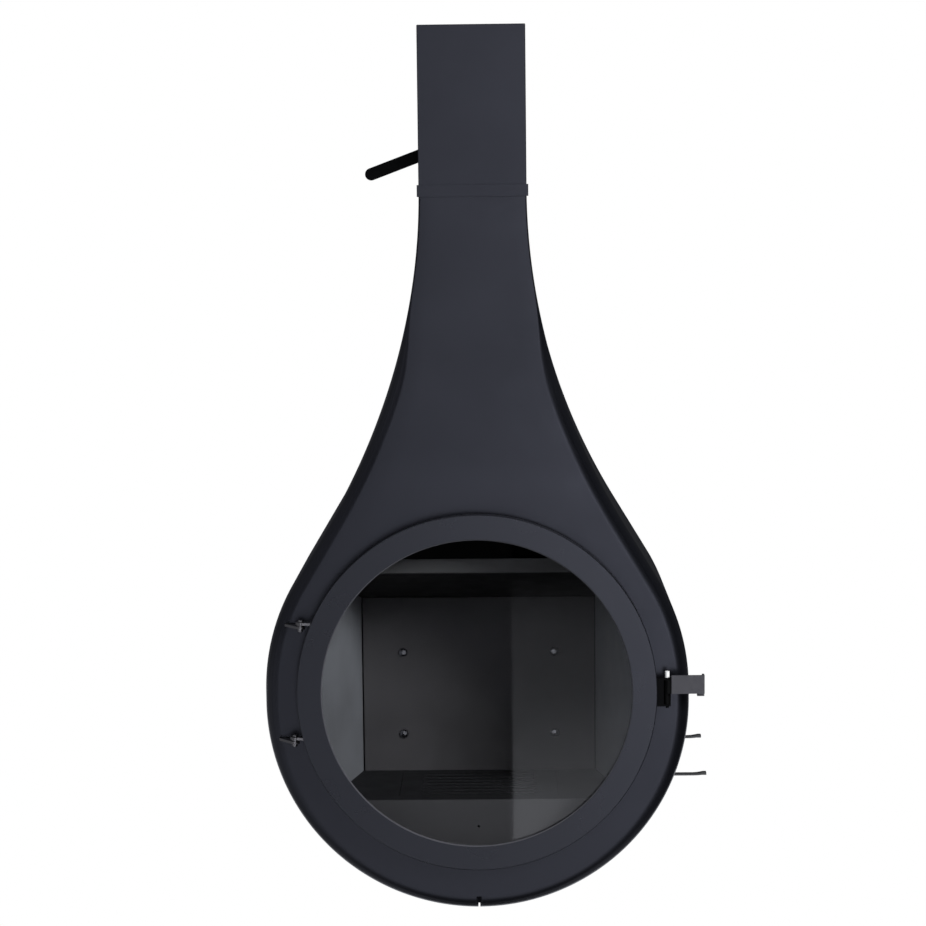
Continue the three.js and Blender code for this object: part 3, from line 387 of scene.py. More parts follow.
# %% [markdown]
# A bright wall stands just right of the axis, which lights the flat face evenly. Beyond 30 degrees
# it is dark on both sides, and that dark draws the bands along the rolled edges. Below the horizon
# a second set of levels takes over. Behind the object, high up and low down there is some light
# for the other views.

# %% Light by direction
AT_LEVEL = [
    (-180, 0.01), (-150, 0.02), (-136, 0.05), (-100, 0.07), (-56, 0.13), (-38, 0.10), (-22, 0.02),
    (-2, 0.03), (1, 1.25), (12, 1.2), (21, 0.24), (31, 0.01), (66, 0.004), (90, 0.025),
    (120, 0.025), (134, 0.01), (180, 0.01)]
BELOW = [
    (-180, 0.25), (-150, 0.25), (-136, 0.06), (-100, 0.07), (-56, 0.10), (-24, 0.14), (0, 0.235),
    (10, 0.235), (24, 0.06), (50, 0.004), (134, 0.004), (150, 0.25), (180, 0.25)]
LEVEL_SHARE = [(-16, 0), (-7, 1)]
BELOW_SHARE = [(-16, 1), (-7, 0)]
HEIGHTS = [
    (-90, 0.02), (-48, 0.03), (-38, 0.9), (-24, 1.1), (-14, 1.0), (-8, 0.95), (-3, 0.55),
    (5, 0.42), (45, 0.55), (65, 0.2), (90, 0.05)]
ROOM_STRENGTH = 4.0
BESIDE = [(35, 0), (65, 1), (120, 1), (150, 0)]
HIGH_AND_LOW = [(-90, 0.35), (-55, 0.35), (-42, 0.0), (42, 0.0), (60, 0.9), (90, 0.9)]


def by_azimuth(stops):
    """Levels over the full turn."""
    return curve(tree, azimuth, -180, 180, stops)


def by_elevation(stops):
    """Levels from straight down to straight up."""
    return curve(tree, elevation, -90, 90, stops)


level = math_node(
    tree, "ADD",
    math_node(tree, "MULTIPLY", by_azimuth(AT_LEVEL), by_elevation(LEVEL_SHARE)),
    math_node(tree, "MULTIPLY", by_azimuth(BELOW), by_elevation(BELOW_SHARE)))
behind = math_node(tree, "GREATER_THAN", parts.outputs["Y"], 0.5)
height = math_node(tree, "MAXIMUM", by_elevation(HEIGHTS), behind)
room = math_node(tree, "MULTIPLY", math_node(tree, "MULTIPLY", level, height), ROOM_STRENGTH)
beside = curve(tree, math_node(tree, "ABSOLUTE", azimuth), 0, 180, BESIDE)
room = math_node(tree, "ADD", room, math_node(tree, "MULTIPLY", beside, by_elevation(HIGH_AND_LOW)))
print("brightest wall", ROOM_STRENGTH * max(share for _, share in AT_LEVEL))

# %% [markdown]
# The photograph shows one sharp upright edge in the door's glass: dark on the left of it, a pale
# glare on the right that grows downwards. The glass probably mirrors a doorway or a screen. Two
# strips of the room stand for it.

# %% The edge in the glass
STRIP_HEIGHTS = (-19.0, -7.2)
DARK_STRIP, DARK_LEVEL = (-5.6, 0.0), 0.01
GLARE_STRIP = (0.0, 3.8)
GLARE = [
    (-20, 0.9), (-18, 0.9), (-14.4, 0.62), (-11.8, 0.21), (-10, 0.12), (-8.9, 0.0), (0, 0.0)]
low_band = within(tree, elevation, *STRIP_HEIGHTS)
for strip, strip_level in (
        (DARK_STRIP, DARK_LEVEL), (GLARE_STRIP, curve(tree, elevation, -20, 0, GLARE))):
    inside = math_node(tree, "MULTIPLY", low_band, within(tree, azimuth, *strip))
    room = swap(tree, room, strip_level, inside)

# %% [markdown]
# The camera must see plain white behind the object, also through the glass, and yet no more light
# may fall on the object for it. Light Path tells the rays apart. A ray that was scattered by a
# surface and left through the glass counts as a transmission ray too, so its depths are asked as
# well: white only for rays that were neither scattered nor mirrored.

# %% Which ray sees what
ROOM_COLOR, FILL_COLOR, FILL_STRENGTH = (0.91, 0.93, 1, 1), (0.93, 0.96, 1, 1), 0.42
NONE_YET, ONE_PANE = 0.5, 2.5

path = tree.nodes.new("ShaderNodeLightPath")
unscattered = math_node(tree, "LESS_THAN", path.outputs["Diffuse Depth"], NONE_YET)
mirrored = math_node(tree, "GREATER_THAN", path.outputs["Glossy Depth"], NONE_YET)
shallow = math_node(tree, "LESS_THAN", path.outputs["Transmission Depth"], ONE_PANE)
through = math_node(tree, "MULTIPLY", path.outputs["Is Transmission Ray"], unscattered)
through = math_node(tree, "MULTIPLY", through, math_node(tree, "SUBTRACT", 1.0, mirrored))
seen = math_node(tree, "MAXIMUM", path.outputs["Is Camera Ray"], through)
gloss = math_node(tree, "MULTIPLY", math_node(tree, "MULTIPLY", mirrored, unscattered), shallow)


def background(color, strength=1.0):
    """A Background node of one colour."""
    made = node(tree, "ShaderNodeBackground", Strength=strength)
    made.inputs["Color"].default_value = color
    return made


def mix_shaders(tree, factor, first, second):
    """A Mix Shader from first to second by factor."""
    made = tree.nodes.new("ShaderNodeMixShader")
    for socket, output in zip(made.inputs, (factor, first, second)):
        tree.links.new(output, socket)
    return made.outputs[0]


around = background(ROOM_COLOR)
tree.links.new(room, around.inputs["Strength"])
fill = background(FILL_COLOR, FILL_STRENGTH)
white = background((1, 1, 1, 1))
reflected = mix_shaders(tree, gloss, fill.outputs[0], around.outputs[0])
sky = mix_shaders(tree, seen, reflected, white.outputs[0])
tree.links.new(sky, tree.nodes.new("ShaderNodeOutputWorld").inputs["Surface"])
print("world nodes:", len(tree.nodes))

# %% [markdown]
# ## The floor
#
# A pale disc under the object catches its soft shade and fades out to nothing, so that no edge of
# it shows. Mirror rays don't see it: the room above already says what is below.

# %% Floor
FLOOR_Z, FLOOR_RADIUS, FADE_START = -2.30, 1.65, 0.35
FLOOR_POINTS = 96
turn = np.linspace(0, 2 * np.pi, FLOOR_POINTS, endpoint=False)
floor = new_object(
    "floor",
    np.stack([FLOOR_RADIUS * np.cos(turn), FLOOR_RADIUS * np.sin(turn),
              np.full(FLOOR_POINTS, FLOOR_Z)], 1),
    [tuple(range(FLOOR_POINTS))])
pale_floor = bpy.data.materials.new("pale_floor")
pale_floor.use_nodes = True
tree = pale_floor.node_tree
shader = tree.nodes["Principled BSDF"]
shader.inputs["Base Color"].default_value = (0.9, 0.9, 0.9, 1)
shader.inputs["Roughness"].default_value = 0.9
flat_place = node(tree, "ShaderNodeVectorMath", operation="MULTIPLY")
flat_place.inputs[1].default_value = (1, 1, 0)
tree.links.new(tree.nodes.new("ShaderNodeTexCoord").outputs["Object"], flat_place.inputs[0])
far = node(tree, "ShaderNodeVectorMath", operation="LENGTH")
tree.links.new(flat_place.outputs[0], far.inputs[0])
fade = node(tree, "ShaderNodeMapRange", interpolation_type="SMOOTHSTEP")
fade.inputs[1].default_value, fade.inputs[2].default_value = FADE_START, FLOOR_RADIUS - 0.01
tree.links.new(far.outputs["Value"], fade.inputs[0])
gone = tree.nodes.new("ShaderNodeBsdfTransparent")
tree.links.new(mix_shaders(tree, fade.outputs[0], shader.outputs[0], gone.outputs[0]),
               tree.nodes["Material Output"].inputs["Surface"])
floor.data.materials.append(pale_floor)
floor.visible_glossy = False

# %% [markdown]
# ## The lamp
#
# One large soft lamp stands high at the front right. It reaches through the glass and lights the
# firebox's left wall, as in the photograph. It is hidden from mirror rays, because its picture
# would run as a bright line down the rolled edge.

# %% Key lamp
LAMP_PLACE, LAMP_TARGET, LAMP_SIDE, LAMP_WATTS = (3.4, -3.7, 1.5), (0, 0, -1.2), 1.5, 300
key = bpy.data.lights.new("key", "AREA")
key.shape = "RECTANGLE"
key.size, key.size_y = LAMP_SIDE, LAMP_SIDE
key.energy = LAMP_WATTS
lamp = bpy.data.objects.new("key", key)
scene.collection.objects.link(lamp)
lamp.location = LAMP_PLACE
lamp.rotation_mode = "QUATERNION"
lamp.rotation_quaternion = (Vector(LAMP_TARGET) - Vector(LAMP_PLACE)).to_track_quat("-Z", "Y")
lamp.visible_camera = False
lamp.visible_transmission = False
lamp.visible_glossy = False
print("lamp", round((Vector(LAMP_TARGET) - Vector(LAMP_PLACE)).length, 2), "m from the door")

# %% [markdown]
# ## Finishes
#
# Each finish is a small node graph that reads Object coordinates, so it holds in every view and
# moves with its piece. A Principled shader does the work. Noise makes its roughness wander between
# two values, since no real coat is even.

# %% Material tools
NOISE_LOW, NOISE_HIGH = 0.3, 0.7


def finish(name, base, roughness, metallic=0.0, specular=0.5):
    """A Principled material, its tree and its shader, ready for detail."""
    material = bpy.data.materials.new(name)
    material.use_nodes = True
    tree = material.node_tree
    shader = tree.nodes["Principled BSDF"]
    shader.inputs["Base Color"].default_value = (*base, 1)
    shader.inputs["Roughness"].default_value = roughness
    shader.inputs["Metallic"].default_value = metallic
    shader.inputs["Specular IOR Level"].default_value = specular
    return material, tree, shader


def noise(tree, scale, detail, roughness=0.55, stretch=(1, 1, 1)):
    """Noise over Object coordinates, scale counted per metre."""
    place = tree.nodes.new("ShaderNodeTexCoord")
    mapping = node(tree, "ShaderNodeMapping", Scale=stretch)
    tree.links.new(place.outputs["Object"], mapping.inputs["Vector"])
    made = node(tree, "ShaderNodeTexNoise", Scale=scale, Detail=detail, Roughness=roughness)
    tree.links.new(mapping.outputs[0], made.inputs["Vector"])
    return made.outputs["Fac"]


def object_axis(tree, axis):
    """One Object coordinate, X, Y or Z, in metres."""
    split = tree.nodes.new("ShaderNodeSeparateXYZ")
    tree.links.new(tree.nodes.new("ShaderNodeTexCoord").outputs["Object"], split.inputs[0])
    return split.outputs[axis]


def spread(tree, source, low, high, out_low, out_high):
    """Maps source from low..high to out_low..out_high."""
    made = node(tree, "ShaderNodeMapRange")
    for index, value in ((1, low), (2, high), (3, out_low), (4, out_high)):
        made.inputs[index].default_value = value
    tree.links.new(source, made.inputs[0])
    return made.outputs[0]


def color_by(tree, shader, factor, first, second):
    """Sets the base colour between two by factor."""
    made = node(tree, "ShaderNodeMix", data_type="RGBA")
    made.inputs[6].default_value = (*first, 1)
    made.inputs[7].default_value = (*second, 1)
    tree.links.new(factor, made.inputs[0])
    tree.links.new(made.outputs[2], shader.inputs["Base Color"])


def color_patches(tree, shader, first, second, scale, detail):
    """Soft patches of two base colours."""
    patches = spread(tree, noise(tree, scale, detail), NOISE_LOW, NOISE_HIGH, 0, 1)
    color_by(tree, shader, patches, first, second)


def bumpy(tree, shader, height, strength, distance):
    """Adds a height to the shader's normal."""
    made = node(tree, "ShaderNodeBump", Strength=strength, Distance=distance)
    tree.links.new(height, made.inputs["Height"])
    tree.links.new(made.outputs[0], shader.inputs["Normal"])


def patchy(name, base, roughness, wander, grain, stretch=(1, 1, 1), **more):
    """A finish whose roughness wanders over noise of grain (scale, detail)."""
    material, tree, shader = finish(name, base, roughness, **more)
    clouds = noise(tree, *grain, stretch=stretch)
    tree.links.new(spread(tree, clouds, NOISE_LOW, NOISE_HIGH, *wander), shader.inputs["Roughness"])
    return material, tree, shader


# %% [markdown]
# Body paint is a satin anthracite, almost black, with a cool sheen and a fine orange peel. The door
# ring looks a little glossier in the photograph, so it has a paint of its own. A thin bevel at the
# glass gets a much lighter paint where the ring's edge faces the light: a painted highlight.

# %% Body, ring and lip
body_paint, tree, shader = patchy(
    "body_paint", (0.0036, 0.0038, 0.0050), 0.34, (0.300, 0.365), (7, 4), specular=0.55)
shader.inputs["Specular Tint"].default_value = (0.82, 0.84, 1.0, 1)
color_patches(tree, shader, (0.0030, 0.0032, 0.0043), (0.0042, 0.0044, 0.0058), 5, 3)
bumpy(tree, shader, noise(tree, 1400, 2), 0.05, 0.0003)

ring_paint, tree, shader = patchy(
    "ring_paint", (0.0057, 0.0060, 0.0076), 0.28, (0.265, 0.295), (9, 4), specular=0.55)
shader.inputs["Specular Tint"].default_value = (0.84, 0.86, 1.0, 1)
color_patches(tree, shader, (0.0052, 0.0055, 0.0070), (0.0062, 0.0065, 0.0082), 5, 3)

# The bevel's lighter paint is a painted highlight.
lip_highlight_paint, tree, shader = patchy(
    "lip_highlight_paint", (0.07, 0.07, 0.08), 0.5, (0.35, 0.45), (60, 3), specular=0.2)

# %% [markdown]
# Inside, heat-proof paint has gone matt. It darkens in soft patches of soot, and towards the top,
# where the lamp doesn't reach, as painted shade. The plates get base colours of different
# brightness: the lighter side walls carry painted light, and the near-black hood and back plate
# painted shade. The baffle is light only on its front lip and black behind it, a painted shade
# under the plate.

# %% Firebox paints
PAINTED_SHADE_START_Z, PAINTED_SHADE_FULL_Z = -1.16, -1.00
LIP_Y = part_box("smoke_baffle")[0][1]


def chamber(name, clean, sooty_and_shaded, roughness, specular=0.5):
    """Heat-proof paint that darkens in soft patches of soot, and towards the top as painted shade."""
    material, tree, shader = patchy(
        name, clean, roughness, (roughness - 0.05, roughness + 0.06), (24, 4), specular=specular)
    # Darker towards the top: painted shade where the lamp doesn't reach.
    shade_by_height = spread(tree, object_axis(tree, "Z"), PAINTED_SHADE_START_Z, PAINTED_SHADE_FULL_Z, 0, 0.9)
    patches = spread(tree, noise(tree, 4, 3), 0.40, 0.80, 0, 0.5)
    soot_and_shade = node(tree, "ShaderNodeMath", operation="ADD", use_clamp=True)
    tree.links.new(shade_by_height, soot_and_shade.inputs[0])
    tree.links.new(patches, soot_and_shade.inputs[1])
    color_by(tree, shader, soot_and_shade.outputs[0], clean, sooty_and_shaded)
    return material


# The side walls get the lightest paint: painted light where the lamp falls on them through the glass.
wall_paint_and_painted_light = chamber("wall_paint_and_painted_light", (0.200, 0.207, 0.226), (0.075, 0.075, 0.080), 0.55)
apron_paint = chamber("apron_paint", (0.058, 0.057, 0.061), (0.044, 0.044, 0.047), 0.60, 0.3)
lining_paint = chamber("lining_paint", (0.082, 0.079, 0.084), (0.018, 0.018, 0.019), 0.75, 0.2)
hearth_paint = chamber("hearth_paint", (0.020, 0.020, 0.022), (0.012, 0.012, 0.013), 0.75, 0.2)
# Near black, with soot patches: on the hood and back plate it is painted shade.
soot_and_shade_black = chamber("soot_and_shade_black", (0.0050, 0.0050, 0.0054), (0.0020, 0.0020, 0.0022), 0.70, 0.1)

baffle_paint, tree, shader = patchy(
    "baffle_paint", (0.08, 0.08, 0.084), 0.6, (0.55, 0.66), (24, 4), specular=0.2)
# Behind its front lip the baffle goes black: painted shade under the plate.
shade_behind_lip = spread(tree, object_axis(tree, "Y"), LIP_Y + 0.003, LIP_Y + 0.012, 0, 1)
color_by(tree, shader, shade_behind_lip, (0.095, 0.095, 0.098), (0.004, 0.004, 0.004))

stove_paint, tree, shader = patchy(
    "stove_paint", (0.004, 0.004, 0.0045), 0.5, (0.44, 0.58), (30, 5), specular=0.25)
bumpy(tree, shader, noise(tree, 2200, 3), 0.08, 0.0003)
print("baffle lip at y", round(LIP_Y, 4))

# %% [markdown]
# Cast iron has a coarse skin from its sand mould, so it gets the strongest bump. Rolled steel is
# smooth and shows drawn-out streaks. Small steel parts are brighter or duller by their plating,
# and the near-black one is partly painted shade.

# %% Metals
cast_iron, tree, shader = finish("cast_iron", (0.020, 0.020, 0.021), 0.6)
color_patches(tree, shader, (0.015, 0.015, 0.016), (0.028, 0.028, 0.029), 11, 5)
bumpy(tree, shader, noise(tree, 700, 5, 0.7), 0.25, 0.0006)

bare_steel = patchy(
    "bare_steel", (0.45, 0.45, 0.46), 0.3, (0.24, 0.4), (60, 4), stretch=(1, 1, 8), metallic=1)[0]
screw_steel = patchy("screw_steel", (0.30, 0.30, 0.32), 0.26, (0.22, 0.32), (90, 3), metallic=1)[0]
zinc_steel = patchy("zinc_steel", (0.17, 0.165, 0.17), 0.36, (0.30, 0.44), (120, 3), metallic=1)[0]
lever_steel = patchy("lever_steel", (0.045, 0.045, 0.047), 0.45, (0.38, 0.52), (120, 3))[0]
# Near black: on the latch's strike and bracket it is painted shade of the gap behind the ring; the
# damper lever is black itself.
black_and_painted_shade = patchy(
    "black_and_painted_shade", (0.0025, 0.0025, 0.0028), 0.6, (0.55, 0.68), (30, 4), specular=0.08)[0]

# %% [markdown]
# The latch stands in the gap between ring and body. Its handle comes out of that dark gap, and so
# does the turned head of its pin. The photograph shows both going black over a few millimetres in
# the ring's shadow, and a blend along one Object axis paints that in as painted shade.

# %% Latch
PAINTED_GAP_SHADE = (0.003, 0.003, 0.003)
HANDLE_GREY = (0.044, 0.043, 0.050)
HANDLE_OUT_X = (0.3550, 0.3565)
PIN_HEAD_Z = (DOOR_Z + 0.016, DOOR_Z + 0.022)


def lit_past_painted_shade(tree, shader, axis, start, end, color):
    """Painted shade, black and dull, up to start on an axis; the given colour and glossy from end on.
    """
    out = spread(tree, object_axis(tree, axis), start, end, 0, 1)
    color_by(tree, shader, out, PAINTED_GAP_SHADE, color)
    tree.links.new(spread(tree, out, 0, 1, 0.06, 0.5), shader.inputs["Specular IOR Level"])


# The pin's head is near-white, a painted highlight on bright steel; its shank is painted shade.
pin_highlight_and_shade, tree, shader = finish("pin_highlight_and_shade", (0.9, 0.9, 0.9), 0.35)
lit_past_painted_shade(tree, shader, "Z", *PIN_HEAD_Z, (0.92, 0.92, 0.92))
# The handle's own grey turns to painted shade where it leaves the gap.
handle_steel, tree, shader = patchy("handle_steel", HANDLE_GREY, 0.42, (0.36, 0.48), (80, 4))
lit_past_painted_shade(tree, shader, "X", *HANDLE_OUT_X, HANDLE_GREY)

# %% [markdown]
# The rope is glass fibre, matt and dark with use. The pane is ceramic glass. Cycles would trace
# every lamp ray through it as a caustic and leave the firebox dark, so shadow rays pass it as a
# lightly grey filter instead.

# %% Rope and glass
rope_fibre, tree, shader = finish("rope_fibre", (0.065, 0.064, 0.061), 0.95)
bumpy(tree, shader, noise(tree, 600, 4), 0.6, 0.0015)

ceramic_glass, tree, shader = finish("ceramic_glass", (0.975, 0.975, 0.985), 0.015)
shader.inputs["Transmission Weight"].default_value = 1
shader.inputs["IOR"].default_value = 1.5
open_way = tree.nodes.new("ShaderNodeBsdfTransparent")
open_way.inputs["Color"].default_value = (0.86, 0.87, 0.87, 1)
shadow_ray = tree.nodes.new("ShaderNodeLightPath").outputs["Is Shadow Ray"]
tree.links.new(mix_shaders(tree, shadow_ray, shader.outputs[0], open_way.outputs[0]),
               tree.nodes["Material Output"].inputs["Surface"])

# %% [markdown]
# ## Who wears what
#
# Every solid first takes the finish of its slot in the record. Some solids share a slot but don't
# look alike in the photograph, and those are named here with their own finish.

# %% Finishes on the solids
SLOT_FINISH = {
    "body_paint": body_paint, "stove_paint": stove_paint, "bare_steel": bare_steel,
    "cast_iron": cast_iron, "rope_fibre": rope_fibre, "glass": ceramic_glass,
}
HINGE_PIECES = ("hinge_pin", "hinge_nut", "hinge_washer", "body_hinge_tab", "door_hinge_tab")
OTHER_FINISH = {
    wall_paint_and_painted_light: ["firebox_left_wall", "firebox_right_wall"],
    apron_paint: ["hearth_apron"],
    lining_paint: ["back_lining", "firebox_front"],
    baffle_paint: ["smoke_baffle"],
    hearth_paint: ["hearth_floor", "grate"],
    soot_and_shade_black: ["smoke_hood", "firebox_back", "ash_box"],
    screw_steel: [f"lining_screw_{k}" for k in (1, 2, 3, 4)],
    black_and_painted_shade: ["latch_strike", "latch_bracket", "damper_lever"],
    pin_highlight_and_shade: ["latch_pin"],
    handle_steel: ["latch_handle"],
    lever_steel: ["primary_air_lever", "secondary_air_lever"],
    zinc_steel: [f"{side}_{piece}" for side in ("upper", "lower") for piece in HINGE_PIECES],
}
slot_of = {row["node"]: row["material_slot"] for row in frame["record"]["subparts"]}
for name, solid in NODES.items():
    solid.data.materials.clear()
    solid.data.materials.append(SLOT_FINISH[slot_of[name]])
for material, names in OTHER_FINISH.items():
    for name in names:
        NODES[name].data.materials[0] = material
print("solids with a finish of their own:", sum(map(len, OTHER_FINISH.values())))

# %% [markdown]
# ## The drop-shaped skin
#
# Such a body is made from a pressed front and back and two side bands, welded along the rolled
# edges. Seen from the front, the outline is one hollow arc down from the collar, one round arc over
# the shoulder, and a half circle below. Arcs that meet on a common tangent leave no kink, which a
# freehand curve through the same points would.


# %% The outline
def arc(cx, cz, radius, start, end, steps, sign):
    """Places and outward directions along an arc, as rows of x, z, nx, nz."""
    a = np.linspace(start, end, steps + 1)
    c, s = np.cos(a), np.sin(a)
    return np.stack([cx + radius * c, cz + radius * s, sign * c, sign * s], 1)


def half_outline(end_gap=0.0, neck=72, shoulder=36, bottom=96):
    """The right half of the outline from the collar down to the lowest point."""
    bx, bz = -(FLUE_HALF + NECK_RADIUS), SHOULDER_Z - NECK_START
    slack = np.arccos((NECK_RADIUS + BODY_RADIUS) / np.hypot(bx, bz))
    tangent = np.arctan2(bz, bx) - slack + 2 * np.pi
    last = np.arcsin(end_gap / 2 / BODY_RADIUS) - np.pi / 2
    return np.concatenate([
        arc(FLUE_HALF + NECK_RADIUS, NECK_START, NECK_RADIUS, np.pi, tangent, neck, -1),
        arc(0, SHOULDER_Z, BODY_RADIUS, tangent - np.pi, 0, shoulder, 1)[1:],
        arc(0, BOTTOM_ARC_Z, BODY_RADIUS, 0, last, bottom, 1),
    ])


# %% [markdown]
# From the side, front and back swell out from the flue by a smooth step, flat at both ends. A
# rolled edge joins face and flank: seen from above it is a quarter circle, and its radius grows
# down the neck by the same kind of step.

# %% Depth and rolled edge
SWELL_START, SWELL_LENGTH = 0.330, 0.550
NECK_ROLL, ROLL = 0.0034, 0.026
ROLL_START, ROLL_LENGTH = 0.470, 0.220
TIGHTEST_ROLL = 0.0004


def smoothstep5(t):
    """6t^5 - 15t^4 + 10t^3 between 0 and 1, flat at both ends."""
    t = np.clip(t, 0, 1)
    return t * t * t * (t * (6 * t - 15) + 10)


def half_depth(z):
    """Half the body's depth at a height."""
    return FLUE_HALF + (HALF_DEPTH - FLUE_HALF) * smoothstep5((-z - SWELL_START) / SWELL_LENGTH)


def roll_radius(z):
    """The rolled edge's radius at a height."""
    return NECK_ROLL + (ROLL - NECK_ROLL) * smoothstep5((-z - ROLL_START) / ROLL_LENGTH)


def skin(samples, theta, deep, side, front):
    """
    Points beside the outline where the skin's direction is theta degrees from straight ahead:
    inset from the outline by deep + r(1 - sin theta), back from the face by r(1 - cos theta).
    """
    x, z, nx, nz = samples.T
    r = np.maximum(roll_radius(z) - deep, TIGHTEST_ROLL)
    inset = deep + r * (1 - np.sin(np.radians(theta)))
    at_z = z - nz * inset
    y = half_depth(at_z) - deep - r * (1 - np.cos(np.radians(theta)))
    return np.stack([side * np.maximum(x - nx * inset, 0), -front * y, at_z], 1)


# %% [markdown]
# The seam between face and band runs along the roll, 30 degrees round from the face. Each part is
# a grid: rows follow the outline, columns cross the roll and the flat.

# %% Face and bands
SEAM_ANGLE = 30.0


def seam_gap(samples):
    """Half the clearance between face and band, as an angle about the roll's axis."""
    return np.degrees(CLEARANCE / 2 / roll_radius(samples[:, 1]))


def between(first, last, columns):
    """Columns of points spaced evenly between two, without the ends."""
    return [first + (last - first) * s for s in np.linspace(0, 1, columns)[1:-1]]


def face_grid(samples, deep, front):
    """The face: from seam to seam, across the flat."""
    edge = SEAM_ANGLE - seam_gap(samples)
    turns = [edge * k for k in np.linspace(1, 0, 9)]
    left = [skin(samples, t, deep, -1, front) for t in turns]
    right = [skin(samples, t, deep, 1, front) for t in turns[::-1]]
    return np.stack(left + between(left[-1], right[0], 9) + right, 1)


def band_grid(samples, deep, side):
    """One side band: the outer part of both rolled edges and the flank between them."""
    edge = SEAM_ANGLE + seam_gap(samples)
    turns = [edge + (90 - edge) * k for k in np.linspace(0, 1, 11)]
    before = [skin(samples, t, deep, side, 1) for t in turns]
    after = [skin(samples, t, deep, side, -1) for t in turns[::-1]]
    return np.stack(before + between(before[-1], after[0], 7) + after, 1)


# %% [markdown]
# The shells are cut where something passes through: the round opening for the door's seat, two
# slots for the hinge tabs, and two in the right flank for the air levers. The bands stop short of
# each other at the lowest point, which leaves the small slit that the photograph shows.

# %% The shells
SHELL, SLIT = 0.003, 0.0037
CUT_PAST = 0.02
TAB_SLOT_WIDTH = 0.0183
LEVER_DROPS = (1.330, 1.4015)
LEVER_SLOT_X, LEVER_SLOT_Y, LEVER_SLOT_Z = (0.3, 0.45), (-0.128, -0.112), (-0.0035, 0.0055)

samples = half_outline()
front_face = sheet("front_face", face_grid(samples, 0, 1), face_grid(samples, SHELL, 1))
HOLE_RADIUS = SEAT_RADIUS + SEAT_WALL + CLEARANCE
cutters = [lathe("cutter", [
    (0.0, FACE_Y - CUT_PAST), (HOLE_RADIUS, FACE_Y - CUT_PAST),
    (HOLE_RADIUS, FACE_Y + CUT_PAST), (0.0, FACE_Y + CUT_PAST)])]
for side in ("upper", "lower"):
    tab_low, tab_high = (Vector(corner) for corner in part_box(f"{side}_body_hinge_tab"))
    cutters.append(cutter_box(
        (tab_low.x - CLEARANCE, FACE_Y - CUT_PAST, tab_low.z - CLEARANCE),
        (tab_low.x + TAB_SLOT_WIDTH, FACE_Y + CUT_PAST, tab_high.z + CLEARANCE)))
cut_out(front_face, *cutters)
back_face = sheet("back_face", face_grid(samples, 0, -1), face_grid(samples, SHELL, -1))

slit_samples = half_outline(SLIT)
left_band = sheet("left_band", band_grid(slit_samples, 0, -1), band_grid(slit_samples, SHELL, -1))
right_band = sheet("right_band", band_grid(slit_samples, 0, 1), band_grid(slit_samples, SHELL, 1))
cut_out(right_band, *[
    cutter_box((LEVER_SLOT_X[0], LEVER_SLOT_Y[0], -drop + LEVER_SLOT_Z[0]),
               (LEVER_SLOT_X[1], LEVER_SLOT_Y[1], -drop + LEVER_SLOT_Z[1]))
    for drop in LEVER_DROPS])
for piece, solid in (
        (front_face, "front_shell"), (back_face, "back_shell"),
        (left_band, "left_side_band"), (right_band, "right_side_band")):
    piece.data.materials.append(body_paint)
    show(piece, "fireplace", "body_paint", solid)
    print(piece.name, len(piece.data.vertices), "points")

# %% [markdown]
# ## The door
#
# The ring is pressed from one sheet: a small bevel at the glass, a flat, and a rim that turns back
# towards the body. Behind it a channel holds the rope. All of that is one profile on the lathe. Its
# bevel faces at the glass get a lighter paint by their place, a painted highlight.

# %% Door ring
STEEL, BEVEL, RIM, RIM_BEVEL = 0.003, 0.002, 0.022, 0.0012
CORNER = 0.0004
ROPE = 0.009
ROPE_Y = FACE_Y - 0.008 - CLEARANCE - ROPE / 2
PLATE_BACK = RING_Y + 0.004
CHANNEL_OUT, CHANNEL_IN = SEAT_RADIUS + SEAT_WALL + 0.004, SEAT_RADIUS - 0.005
CHANNEL_END = ROPE_Y - ROPE / 2 + 0.005
CHANNEL_FLOOR = ROPE_Y - ROPE / 2 - CLEARANCE

ring = lathe("door_ring_skin", rounded([
    (GLASS_OPENING, RING_Y + BEVEL), (GLASS_OPENING + BEVEL, RING_Y),
    (RING_RADIUS - RIM_BEVEL, RING_Y), (RING_RADIUS, RING_Y + RIM_BEVEL),
    (RING_RADIUS, RING_Y + RIM), (RING_RADIUS - STEEL, RING_Y + RIM),
    (RING_RADIUS - STEEL, PLATE_BACK), (CHANNEL_OUT + STEEL, PLATE_BACK),
    (CHANNEL_OUT + STEEL, CHANNEL_END), (CHANNEL_OUT, CHANNEL_END),
    (CHANNEL_OUT, CHANNEL_FLOOR), (CHANNEL_IN, CHANNEL_FLOOR),
    (CHANNEL_IN, CHANNEL_END), (CHANNEL_IN - STEEL, CHANNEL_END),
    (CHANNEL_IN - STEEL, PLATE_BACK), (GLASS_OPENING, PLATE_BACK),
], CORNER))
ring.data.materials.append(ring_paint)
ring.data.materials.append(lip_highlight_paint)
# The bevel faces at the glass take the second paint, a painted highlight.
centres = np.empty(len(ring.data.polygons) * 3)
ring.data.polygons.foreach_get("center", centres)
x, y, z = centres.reshape(-1, 3).T
lip = (np.hypot(x, z - DOOR_Z) < GLASS_OPENING + BEVEL + 0.0001)
lip &= (y < RING_Y + BEVEL + 0.0003) & (y > RING_Y + 0.0001)
ring.data.polygons.foreach_set("material_index", lip.astype(np.int32))
show(ring, "door", "body_paint", "door_ring")
print("bevel faces at the glass:", int(lip.sum()))

# %% [markdown]
# The seat is a short round of plate welded behind the opening. The door's rope presses on its
# front edge.

